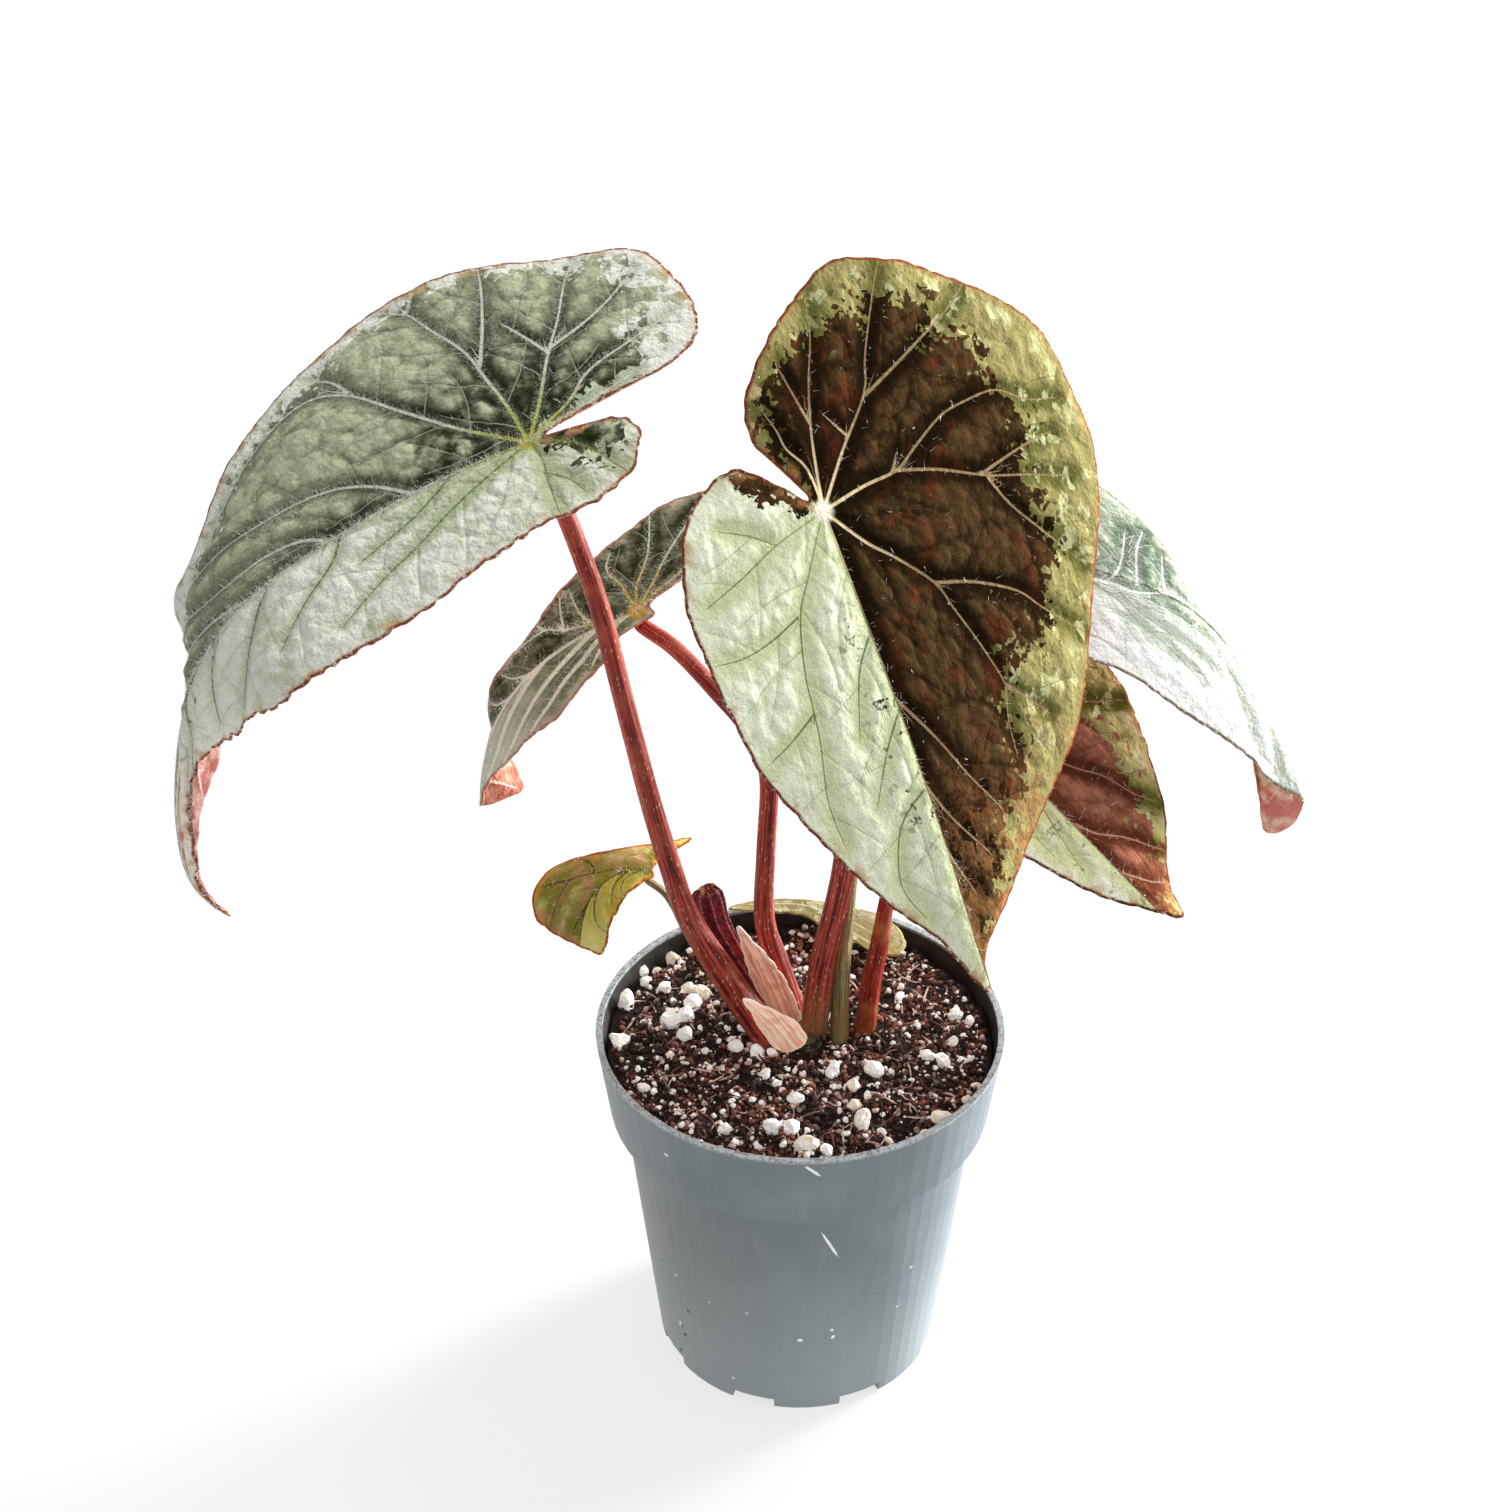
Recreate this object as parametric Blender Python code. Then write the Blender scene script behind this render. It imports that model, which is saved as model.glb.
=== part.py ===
"""A begonia in a small nursery pot.

The plant stands in an 80 mm plastic pot. The origin is the centre of the pot's base, +Z is up,
and the front of the plant faces -Y. Every size below is in millimetres and every angle in
degrees; MM turns them into Blender's metres.
"""
import math
import random

import bmesh
import bpy
import numpy as np
from mathutils import Matrix, Vector

MM = 0.001
SEED = 7
GAP = 0.3                     # room left between pieces that touch

# pot
RIM_RADIUS = 40.0             # outer radius at the top
POT_HEIGHT = 76.5
BASE_RADIUS = 28.5
BAND_HEIGHT = 18.0            # the wider band under the rim
BAND_FOOT_RADIUS = 37.6       # outer radius at the lower edge of the band
BODY_TOP_RADIUS = 34.8        # outer radius just under the band
WALL = 1.2
FOOT_ROUND = 0.8              # radius of the pot's lower edge
NOTCHES = 8                   # drain notches cut through the lower edge
NOTCH_WIDTH = 9.0
NOTCH_HEIGHT = 2.6
NOTCH_DEPTH = 5.0
POT_SIDES = 64

# soil
SOIL_LEVEL = 71.8
SOIL_DOME = 1.2               # how much higher the middle lies than the edge
SOIL_LUMP = 0.7               # height of the lumps
SOIL_RINGS = (0.0, 4.5, 9.0, 14.0, 19.0, 24.0, 29.0, 33.0)
SOIL_SIDES = 32
HOLE_FLOOR = 64.0             # the stems reach down to here
GRAINS = 36                   # white perlite grains
BIG_GRAINS = 16
BIG_RADIUS = (1.0, 2.4)
SMALL_RADIUS = (1.0, 1.5)
GRAIN_SPREAD = 1.3            # room round a grain, as a share of both radii
GRAIN_TO_STEM = 4.0
GRAIN_TO_WALL = 6.5
GRAIN_LIFT = 0.2              # how far a grain's middle stands over the soil, in radii

# stems
HOLE_SIDES = 12
CROWN_SIDES = 12
CROWN_AT = (1.6, -1.2)
CROWN_RADIUS = 2.9
CROWN_TOP = 75.4
STALK_SIDES = 8
STALK_TOP_ROOM = 0.15         # more room under a leaf, which sags a little round its stalk

# Each leaf grows from the top of its stalk. "bend" gives, at distances along the midrib, the
# way it heads (0 is +X, 90 is +Y), how far it dips, its roll, and how far its left and right
# halves fold up. "curl" is how fast each half bends down across its width. "rim" is the flat
# outline, as (along the midrib, across it to the left), going once round from the notch. "wave"
# is the height and number of the waves in the margin, and "rings" says where the mesh has rings
# between the hub, which is the top of the stalk unless it is given, and the margin.
LEAVES = {
    "leaf_left": {
        "at": (-48.6, 8.0, 200.9), "curl": (-0.1, -0.15), "thick": 0.8, "wave": (0.45, 11),
        "rings": (0.3, 0.5, 0.64, 0.76, 0.88, 1),
        "bend": [(-60, 197, 8, -16, -2, 0), (0, 197, 14, -16, -2, 0), (30, 199, 24, -14, -4, -2),
                 (55, 199, 31, -8, -10, -3), (70, 200, 60, 0, -22, 0), (79, 199, 70, 0, -34, 2),
                 (90, 199, 79, 0, -52, -52), (108, 199, 88, 0, -72, -74),
                 (120, 199, 98, 0, -74, -74), (132, 198, 152, 0, -74, -74)],
        "rim": [(-4, -0.85), (-15, -3.1), (-24, -5.2), (-34, -11), (-37, -21), (-35, -32),
                (-31, -39.5), (-24, -43), (-16, -45), (-7, -48.4), (3, -50.6), (13, -51),
                (23, -49.3), (34, -46), (44, -41.8), (52, -37.2), (58, -32.4), (64, -27.5),
                (69, -24.8), (75, -24.6), (80, -20.5), (88, -15.5), (95, -11), (103, -6.6),
                (110, -4.4), (118, -2.6), (125, -1.5), (131, 0), (125, 1.4), (118, 2.2),
                (110, 2.7), (102, 3.2), (95, 4.4), (90, 6), (86, 8.5), (82, 11), (75, 15),
                (62, 22.5), (50, 24), (34, 24), (17, 22), (9, 20), (-1, 19), (-9, 16.5),
                (-15, 13), (-18, 8), (-18, 4), (-14, 1), (-5, 0.35)]},
    "leaf_front": {
        "at": (3.2, -14.0, 199.8), "curl": (-0.1, -0.1), "thick": 0.8, "wave": (0.35, 12),
        "rings": (0.35, 0.7, 1),
        "bend": [(-60, -51, 54, 0, -3, -3), (0, -51, 54, 0, -3, -3), (25, -51, 54, 0, -3, -3),
                 (50, -51, 58, 0, -6, -6), (75, -51, 62, 0, -15, -15), (90, -50, 66, 0, -25, -25)],
        "rim": [(-3, -1.75), (-8, -4.7), (-14, -7.7), (-22, -6.5), (-30, 1), (-36, 11),
                (-39.5, 21), (-37.2, 32), (-32.3, 42.6), (-26.5, 52.3), (-18, 61), (-8, 64.5), (3, 65.5),
                (14.2, 62), (26.5, 54.8), (39, 48), (50, 41), (59, 33), (67, 22.5), (74, 13),
                (79, 5.5), (83, 1.5), (88, 0), (82, -3.5), (74, -7.5), (66, -14), (54, -21),
                (38, -28), (30, -30), (19, -31), (9, -31), (1, -29), (-4, -27), (-9, -22),
                (-12, -15), (-10.4, -10.6), (-3.2, -3.3)]},
    "leaf_back_left": {
        "at": (-31.5, 26.0, 155.2), "curl": (-0.15, -0.1), "thick": 0.8, "wave": (0.5, 10),
        "rings": (0.25, 0.45, 0.62, 0.8, 1),
        "bend": [(-60, 195, 4, -24, -3, -3), (0, 195, 12, -24, -3, -3), (20, 198, 33, -24, -5, -4),
                 (36, 210, 60, -14, -12, -14), (44, 214, 80, -6, -18, -80),
                 (56, 215, 92, -4, -20, -88), (66, 215, 92, -4, -20, -88)],
        "rim": [(-3, -0.9), (-9, -3.2), (-17, -7), (-24, -13), (-25, -19.5), (-20, -23),
                (-15, -23), (-9.7, -21.6), (-4.3, -19.3), (2.2, -16.3), (9, -12.6), (15, -9.7),
                (21, -7.2), (27, -6.2), (34, -7), (41, -8), (48, -9.3), (54, -10.2),
                (54.5, -5), (54, 0), (50, 1), (46, 2.6), (40.5, 6.2), (33, 8.6), (27, 10.2),
                (22, 10.5), (16, 9), (10, 7), (6, 4.6), (2, 3.2), (-2.8, 1.6)]},
    "leaf_back_right": {
        "at": (34.8, 32.0, 165.7), "curl": (-0.15, -0.1), "thick": 0.8, "wave": (0.5, 10),
        "rings": (0.25, 0.45, 0.62, 0.8, 1),
        "bend": [(-60, -15, 4, 24, -3, -3), (0, -15, 8, 24, -3, -3), (25, -13, 12, 20, -4, -4),
                 (45, -12, 40, 12, -12, -8), (60, -12, 57, 4, -34, -18), (80, -12, 66, 0, -74, -30),
                 (90, -12, 74, 0, -88, -34), (102, -12, 90, 0, -88, -34)],
        "rim": [(-3, 0.95), (-10, 3.5), (-19, 7), (-27, 13), (-30, 20), (-27, 27), (-19, 30),
                (-8, 30), (2, 28), (11, 25.3), (19, 22.8), (27, 18.2), (33, 13.4), (39, 8.9),
                (47, 6.9), (56, 6.8), (70, 7.9), (80, 8.8), (86, 9.3), (89.5, 9.6), (92, 8.5),
                (91, 5), (88.5, 2), (85, 0), (78, -4.7), (73, -7.6), (68, -9.5), (57, -14),
                (46, -16.8), (29, -17), (14, -17), (0, -17), (-9, -14), (-14, -9), (-12, -3.7),
                (-4, -1.1)]},
    "leaf_right": {
        "at": (24.5, 12.0, 147.2), "curl": (-0.15, -0.15), "thick": 0.8, "wave": (0.4, 9),
        "rings": (0.35, 0.7, 1),
        "bend": [(-60, -35, 24, 24, -3, -3), (0, -35, 28, 24, -3, -3), (30, -35, 31, 20, -5, -5),
                 (50, -34, 33, 14, -10, -10), (66, -33, 35, 8, -14, -14)],
        "rim": [(-3, 1.5), (-7, 4), (-10.5, 8.5), (-11.5, 14.5), (-9.5, 20.5), (-5, 26),
                (2, 29.4), (9, 30.4), (16, 30.3), (22, 29.7), (29, 27), (36, 24.3), (44, 19.4),
                (52, 11.8), (57, 7.4), (62, 3.6), (54, -2.6), (45, -7.4), (36, -10.6),
                (28, -12.2), (20, -13), (8, -14), (-2, -13), (-9, -10), (-11, -5.5),
                (-4, -1.4)]},
    "leaf_small": {
        "at": (-29.5, 10.0, 106.7), "curl": (-0.4, -0.4), "thick": 0.7, "wave": (0.3, 6),
        "rings": (0.35, 0.7, 1),
        "bend": [(-20, 186, -18, -10, -6, -6), (0, 186, -14, -10, -6, -6), (6, 190, 0, -10, -8, -8),
                 (12, 215, 40, -4, -10, -10), (18, 255, 72, 0, -12, -12), (30, 268, 84, 0, -14, -14)],
        "rim": [(-1.5, -1.5), (-9, -10.5), (-8, -11.5), (-2, -8.5), (3, -7), (7, -8.5),
                (10, -12), (13, -14), (16, -14), (19, -12.5), (21, -10), (22, -6), (22.5, -3),
                (23.5, 1), (25, 4), (21, 5.5), (17, 5.5), (11, 6), (5, 5), (1, 3), (-1, 1.5)]},
    "leaf_low": {
        "at": (7.5, 28.0, 77.9), "curl": (-0.3, -0.3), "thick": 0.7, "wave": (0.2, 5),
        "hub": (3, -7.3), "rings": (0.55, 1),
        "bend": [(-30, 200, 2, 0, -4, 6), (0, 185, 2, 0, -4, 6), (12, 175, 0, 0, -4, 2),
                 (24, 165, 0, 0, -4, 0)],
        "rim": [(-2, 2), (-7, 7), (-11, 8), (-13, 4), (-11, -2), (-6, -6), (0, -9), (6, -10.5),
                (14, -11), (21, -9), (24, -6), (20, -6.5), (13, -7), (7, -6), (4, -3), (3, 0),
                (1, 2)]},
}

# Stalks run from the crown or the soil up to their leaf, as points with a radius at each.
STALKS = {
    "stalk_left": [(-4.9, -0.6, HOLE_FLOOR, 3.1), (-5.2, -0.6, 71.5, 3.2), (-7.4, -0.3, 76, 3.2),
                   (-13.2, 1, 85, 3.0), (-21.3, 2, 100.5, 2.5), (-24.7, 3, 111.6, 2.2),
                   (-28.6, 4, 127.1, 2.1), (-32.8, 5, 147.7, 2.0), (-36.9, 6, 167.6, 1.9),
                   (-42.2, 7, 185.6, 1.9), (-46.4, 8, 196, 1.8)],
    "stalk_front": [(2.6, 0.0, CROWN_TOP + 0.4, 2.7), (4, 1, 89.5, 2.7), (7, 2, 105.7, 2.5),
                    (8.4, 3, 116.8, 2.4), (8.9, 4, 132.2, 2.3), (8.5, 3, 150.6, 2.2),
                    (7.5, 0, 169.6, 2.1), (5.8, -5, 186.0, 2.0)],
    "stalk_back_left": [(-0.5, 7.6, HOLE_FLOOR, 2.3), (-0.9, 7.6, 73, 2.4), (-4.4, 8.4, 85.1, 2.3),
                        (-7.2, 9.2, 95.4, 2.1), (-6.9, 11, 110.8, 1.9), (-6.6, 13, 126.9, 1.8),
                        (-10, 16, 135.2, 1.8), (-16.7, 19, 142.2, 1.7), (-24.3, 23, 148.9, 1.6)],
    "stalk_back_right": [(7.7, -0.5, HOLE_FLOOR, 1.9), (7.8, 2, 83, 1.8), (8.5, 7, 95.9, 1.7),
                         (9.7, 11, 108.6, 1.7), (12.9, 17, 124, 1.6), (17.8, 24, 139.5, 1.6),
                         (24.5, 29.5, 153.5, 1.5)],
    "stalk_right": [(12.2, 3.4, HOLE_FLOOR, 2.1), (13.6, 4, 82.3, 2.1), (15, 5, 91.4, 1.9),
                    (16.3, 6, 101.6, 1.6), (18.1, 8, 110.9, 1.4), (20.1, 10, 123.6, 1.4),
                    (22.4, 12, 136, 1.3)],
    "stalk_small": [(-8.2, 10.2, HOLE_FLOOR, 1.1), (-9.5, 11, 75, 1.0), (-14.5, 12, 83, 0.9),
                    (-21.8, 11, 91.2, 0.9), (-26, 10.4, 100, 0.8)],
    "stalk_low": [(6.9, 24, HOLE_FLOOR, 0.9), (7.0, 25.5, 73, 0.9)],
}
LEAF_OF = {"stalk_left": "leaf_left", "stalk_front": "leaf_front",
           "stalk_back_left": "leaf_back_left", "stalk_back_right": "leaf_back_right",
           "stalk_right": "leaf_right", "stalk_small": "leaf_small", "stalk_low": "leaf_low"}

# Papery sheaths at the foot of the stalks, described as the leaves are.
SHEATHS = {
    "sheath_upright": {
        "at": (-3.9, 2.9, 79.0), "curl": (-2.2, -2.2), "thick": 0.6, "wave": (0.0, 1),
        "rings": (0.5, 1),
        "bend": [(-10, 178, -72, -90, -12, -12), (0, 178, -70, -90, -12, -12),
                 (20, 182, -64, -90, -14, -14)],
        "rim": [(-5, -2.4), (0, -3.0), (6, -3.2), (12, -2.2), (17, -1.0), (21, 0), (17, 1.2),
                (12, 2.4), (6, 3.2), (0, 2.8), (-5, 2.2)]},
    "sheath_low": {
        "at": (-2.7, -5.0, 77.3), "curl": (-2.4, -2.4), "thick": 0.6, "wave": (0.0, 1),
        "rings": (0.5, 1),
        "bend": [(-8, 178, -66, -90, -10, -10), (0, 182, -58, -90, -10, -10),
                 (14, 190, -44, -90, -8, -8)],
        "rim": [(-3.0, -2.6), (0, -3.6), (4, -3.0), (9, -1.6), (13.5, 0), (9, 1.6), (4, 3.0),
                (0, 3.4), (-3.0, 2.4)]},
}

# The pleated young leaf beside the left stalk: points up its middle, half width, half depth.
YOUNG_LEAF = [(-6.2, 5.9, 73.8, 0.9, 0.9), (-8.7, 6.8, 79.2, 1.6, 1.2), (-10.9, 7.3, 83.2, 2.4, 1.5),
              (-14.2, 7.6, 89.1, 3.1, 1.6), (-16.9, 7.7, 95.1, 3.4, 1.6), (-17.9, 7.6, 100, 3.5, 1.6),
              (-18.2, 7.4, 103, 3.2, 1.4), (-18.4, 7.2, 105, 2.0, 0.9)]
PLEATS = 9
PLEAT_DEPTH = 0.13

SPINE_START, SPINE_END = -70, 170
RIM_STEPS = 2                 # points per stretch of a leaf's rim

COLOURS = {                   # base colour, roughness
    "pot": ((0.16, 0.20, 0.22), 0.45),
    "soil": ((0.045, 0.028, 0.02), 0.95),
    "leaf_left": ((0.25, 0.31, 0.24), 0.6),
    "leaf_front": ((0.20, 0.12, 0.06), 0.55),
    "leaf_back_left": ((0.10, 0.13, 0.10), 0.6),
    "leaf_back_right": ((0.45, 0.52, 0.46), 0.6),
    "leaf_right": ((0.19, 0.08, 0.05), 0.55),
    "leaf_small": ((0.32, 0.33, 0.12), 0.55),
    "leaf_low": ((0.58, 0.58, 0.34), 0.6),
    "red_stalk": ((0.30, 0.07, 0.06), 0.5),
    "green_stalk": ((0.33, 0.30, 0.13), 0.5),
    "crown": ((0.10, 0.08, 0.05), 0.8),
    "young_leaf": ((0.16, 0.02, 0.03), 0.5),
    "sheath": ((0.72, 0.50, 0.44), 0.6),
}


def clear_scene():
    for item in list(bpy.data.objects):
        bpy.data.objects.remove(item, do_unlink=True)


def material(name):
    colour, roughness = COLOURS[name]
    made = bpy.data.materials.get(name) or bpy.data.materials.new(name)
    made.use_nodes = True
    shader = made.node_tree.nodes["Principled BSDF"]
    shader.inputs["Base Color"].default_value = (*colour, 1)
    shader.inputs["Roughness"].default_value = roughness
    shader.inputs["Metallic"].default_value = 0.0
    return made


def add_object(name, bm, material_name, smooth=True):
    """Turn a bmesh in millimetres into a named object in metres."""
    bmesh.ops.recalc_face_normals(bm, faces=bm.faces)
    bmesh.ops.scale(bm, vec=Vector((MM, MM, MM)), verts=bm.verts)
    mesh = bpy.data.meshes.new(name)
    bm.to_mesh(mesh)
    bm.free()
    if smooth:
        mesh.shade_smooth()
        mesh.set_sharp_from_angle(angle=math.radians(40))
    mesh.materials.append(material(material_name))
    made = bpy.data.objects.new(name, mesh)
    bpy.context.collection.objects.link(made)
    return made


def smooth_curve(points, steps, closed):
    """A Catmull-Rom curve through the points, with a number of steps per stretch."""
    points = np.array(points, float)
    count = len(points)
    made = []
    for i in range(count if closed else count - 1):
        if closed:
            a, b, c, d = (points[(i + k) % count] for k in (-1, 0, 1, 2))
        else:
            a, b, c, d = (points[min(max(i + k, 0), count - 1)] for k in (-1, 0, 1, 2))
        for t in np.arange(steps) / steps:
            made.append(0.5 * (2 * b + (c - a) * t + (2 * a - 5 * b + 4 * c - d) * t ** 2
                               + (3 * b - a - 3 * c + d) * t ** 3))
    if not closed:
        made.append(points[-1])
    return np.array(made)


def bend_column(leaf, column):
    """One column of the bend table, every millimetre along the midrib, with soft corners."""
    places = np.arange(SPINE_START, SPINE_END + 1.0)
    stations = np.array(leaf["bend"], float)
    values = np.interp(places, stations[:, 0], stations[:, column])
    reach = 9
    padded = np.pad(values, reach, mode="edge")
    return np.convolve(padded, np.ones(2 * reach + 1) / (2 * reach + 1), mode="valid")


def spine(leaf):
    """Points, side and up directions and folds along the midrib of a leaf."""
    heading, dip, roll = (np.radians(bend_column(leaf, column)) for column in (1, 2, 3))
    ahead = np.stack([np.cos(dip) * np.cos(heading), np.cos(dip) * np.sin(heading),
                      -np.sin(dip)], axis=1)
    points = np.cumsum(ahead, axis=0)
    points += np.array(leaf["at"]) - points[-SPINE_START]
    level = np.stack([-np.sin(heading), np.cos(heading), 0 * heading], axis=1)
    above = np.cross(ahead, level)
    turn_cos, turn_sin = np.cos(roll)[:, None], np.sin(roll)[:, None]
    side = level * turn_cos + above * turn_sin
    up = above * turn_cos - level * turn_sin
    return points, side, up, bend_column(leaf, 4), bend_column(leaf, 5)


def on_leaf(leaf, along, across):
    """Where flat points of a leaf lie in space."""
    points, side, up, fold_left, fold_right = spine(leaf)
    places = np.arange(SPINE_START, SPINE_END + 1.0)

    def at(values):
        if values.ndim == 1:
            return np.interp(along, places, values)
        return np.stack([np.interp(along, places, values[:, k]) for k in range(3)], axis=1)

    left = across > 0
    start = np.radians(np.where(left, at(fold_left), at(fold_right)))
    rate = np.radians(np.where(left, *leaf["curl"])) - 1e-6
    end = start + rate * np.abs(across)
    out = (np.sin(end) - np.sin(start)) / rate
    rise = (np.cos(start) - np.cos(end)) / rate
    return at(points) + (np.sign(across) * out)[:, None] * at(side) + rise[:, None] * at(up)


def leaf_rim(leaf, hub):
    """The smooth outline, without points that turn back as seen from the hub."""
    rim = smooth_curve(leaf["rim"], RIM_STEPS, closed=True)
    turn = np.unwrap(np.arctan2(rim[:, 1] - hub[1], rim[:, 0] - hub[0]))
    turn = np.abs(turn - turn[0])
    kept = [i for i in range(len(rim)) if i == 0 or turn[i] > turn[:i].max() + 0.002]
    return rim[kept]


def leaf_sheet(leaf):
    """The middle surface of a blade: a fan of rings from its hub out to the waved margin."""
    hub = np.array(leaf.get("hub", (0, 0)), float)
    rim = leaf_rim(leaf, hub)
    height, waves = leaf["wave"]
    around = np.arange(len(rim)) / len(rim)
    shares = leaf["rings"]
    flat = np.concatenate([[hub]] + [hub + (rim - hub) * share for share in shares])
    lift = np.concatenate([[0.0]] + [height * share ** 3 * np.sin(2 * math.pi * waves * around)
                                     for share in shares])
    placed = on_leaf(leaf, flat[:, 0], flat[:, 1])
    beside = on_leaf(leaf, flat[:, 0] + 0.2, flat[:, 1]) - placed
    beyond = on_leaf(leaf, flat[:, 0], flat[:, 1] + 0.2) - placed
    normal = np.cross(beside, beyond)
    normal /= np.linalg.norm(normal, axis=1)[:, None]
    return placed + normal * lift[:, None], normal, len(rim)


def blade(name, leaf, material_name):
    """A leaf blade as a closed solid, split into the same triangles on both faces."""
    middle, normal, count = leaf_sheet(leaf)
    rings = len(leaf["rings"])
    half = leaf["thick"] / 2
    bm = bmesh.new()
    upper = [bm.verts.new(point) for point in middle + normal * half]
    lower = [bm.verts.new(point) for point in middle - normal * half]
    for face, flip in ((upper, False), (lower, True)):
        triangles = []
        for i in range(count):
            after = (i + 1) % count
            triangles.append((face[0], face[1 + i], face[1 + after]))
            for ring in range(rings - 1):
                inner, outer = 1 + ring * count, 1 + (ring + 1) * count
                triangles.append((face[inner + i], face[outer + i], face[outer + after]))
                triangles.append((face[inner + i], face[outer + after], face[inner + after]))
        for triangle in triangles:
            bm.faces.new(triangle[::-1] if flip else triangle)
    edge = 1 + (rings - 1) * count
    for i in range(count):
        a, b = edge + i, edge + (i + 1) % count
        bm.faces.new((upper[b], upper[a], lower[a]))
        bm.faces.new((upper[b], lower[a], lower[b]))
    return add_object(name, bm, material_name)


def tube(bm, centres, widths, depths, sides, ridge=None, square_to=None):
    """A closed tube through the centres, its last ring square to a direction if one is given.

    ridge(angle) may scale the radius."""
    rings = []
    across = Vector((0, 1, 0))
    for i, centre in enumerate(centres):
        before, after = centres[max(i - 1, 0)], centres[min(i + 1, len(centres) - 1)]
        ahead = (Vector(after) - Vector(before)).normalized()
        if square_to is not None and i == len(centres) - 1:
            ahead = Vector(square_to)
        deep = (across - ahead * across.dot(ahead)).normalized()
        wide = deep.cross(ahead)
        ring = []
        for k in range(sides):
            angle = 2 * math.pi * k / sides
            scale = ridge(angle) if ridge else 1.0
            offset = wide * math.cos(angle) * widths[i] + deep * math.sin(angle) * depths[i]
            ring.append(bm.verts.new(Vector(centre) + offset * scale))
        rings.append(ring)
    for low, high in zip(rings, rings[1:]):
        for k in range(sides):
            after = (k + 1) % sides
            bm.faces.new((low[k], low[after], high[after], high[k]))
    bm.faces.new(rings[0][::-1])
    bm.faces.new(rings[-1])


def stalk_route(name):
    """A stalk's smooth route and radii up to the underside of its leaf, and the leaf's facing."""
    leaf = LEAVES[LEAF_OF[name]]
    facing = spine(leaf)[2][-SPINE_START]
    top = np.array(leaf["at"]) - facing * (leaf["thick"] / 2 + GAP + STALK_TOP_ROOM)
    points = STALKS[name]
    radius = points[-1][3]
    bend = top - facing * 2.5 * radius
    points = points + [(*bend, radius * 0.95), (*top, radius * 0.7)]
    return smooth_curve(points, 2, closed=False), facing


def stalk(name):
    route, facing = stalk_route(name)
    bm = bmesh.new()
    tube(bm, [tuple(point[:3]) for point in route], route[:, 3], route[:, 3], STALK_SIDES,
         square_to=facing)
    green = name in ("stalk_back_right", "stalk_small", "stalk_low")
    return add_object(name, bm, "green_stalk" if green else "red_stalk")


def crown():
    """The short thick stem that the stalks grow from."""
    heights = (HOLE_FLOOR, 68.0, 71.0, 73.5, CROWN_TOP)
    widths = (0.8, 1.0, 1.0, 0.94, 0.84)
    bm = bmesh.new()
    centres = [(*CROWN_AT, height) for height in heights]
    radii = [CROWN_RADIUS * width for width in widths]
    tube(bm, centres, radii, radii, CROWN_SIDES)
    return add_object("crown", bm, "crown")


def young_leaf():
    """The dark young leaf, still folded in pleats that run up its length."""
    route = smooth_curve(YOUNG_LEAF, 1, closed=False)
    bm = bmesh.new()
    tube(bm, [tuple(point[:3]) for point in route], route[:, 3], route[:, 4], 2 * PLEATS,
         ridge=lambda angle: 1 + PLEAT_DEPTH * math.cos(PLEATS * angle))
    return add_object("young_leaf", bm, "young_leaf")


def pot_outside():
    """The outer profile as (radius, height), from the base up to the rim."""
    round_steps = 3
    corner = []
    for k in range(round_steps + 1):
        angle = math.radians(90 * k / round_steps)
        corner.append((BASE_RADIUS - FOOT_ROUND * (1 - math.sin(angle)),
                       FOOT_ROUND * (1 - math.cos(angle))))
    band_foot = POT_HEIGHT - BAND_HEIGHT
    return corner + [(BODY_TOP_RADIUS, band_foot - 1.0), (BAND_FOOT_RADIUS, band_foot + 0.6),
                     (RIM_RADIUS, POT_HEIGHT)]


def pot_inside(clearance=0.0):
    """The inner profile, drawn in by a clearance for what fills the pot."""
    inset = WALL + clearance
    band_foot = POT_HEIGHT - BAND_HEIGHT
    return [(BASE_RADIUS - inset - 1.2, inset), (BASE_RADIUS - inset, inset + 1.4),
            (BODY_TOP_RADIUS - inset, band_foot - 0.4 + clearance),
            (BAND_FOOT_RADIUS - inset, band_foot + 1.2 + clearance),
            (RIM_RADIUS - inset, POT_HEIGHT)]


def turned(bm, profile, sides):
    """Spin a profile that starts and ends on the axis into a closed solid."""
    rings = []
    for radius, height in profile:
        ring = []
        for k in range(sides):
            angle = 2 * math.pi * k / sides
            ring.append(bm.verts.new((radius * math.cos(angle), radius * math.sin(angle), height)))
        rings.append(ring)
    for low, high in zip(rings, rings[1:]):
        for k in range(sides):
            after = (k + 1) % sides
            bm.faces.new((low[k], low[after], high[after], high[k]))
    bm.faces.new(rings[0][::-1])
    bm.faces.new(rings[-1])


def cutter(name, bm):
    made = add_object(name, bm, "soil", smooth=False)
    made.hide_render = True
    made.display_type = "WIRE"
    return made


def cut(target, tool, operation="DIFFERENCE"):
    """Apply a Boolean to the target and take the tool away."""
    modifier = target.modifiers.new("cut", "BOOLEAN")
    modifier.operation = operation
    modifier.solver = "EXACT"
    modifier.object = tool
    applied = bpy.data.meshes.new_from_object(
        target.evaluated_get(bpy.context.evaluated_depsgraph_get()))
    target.modifiers.clear()
    target.data = applied
    bpy.data.objects.remove(tool, do_unlink=True)


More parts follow.
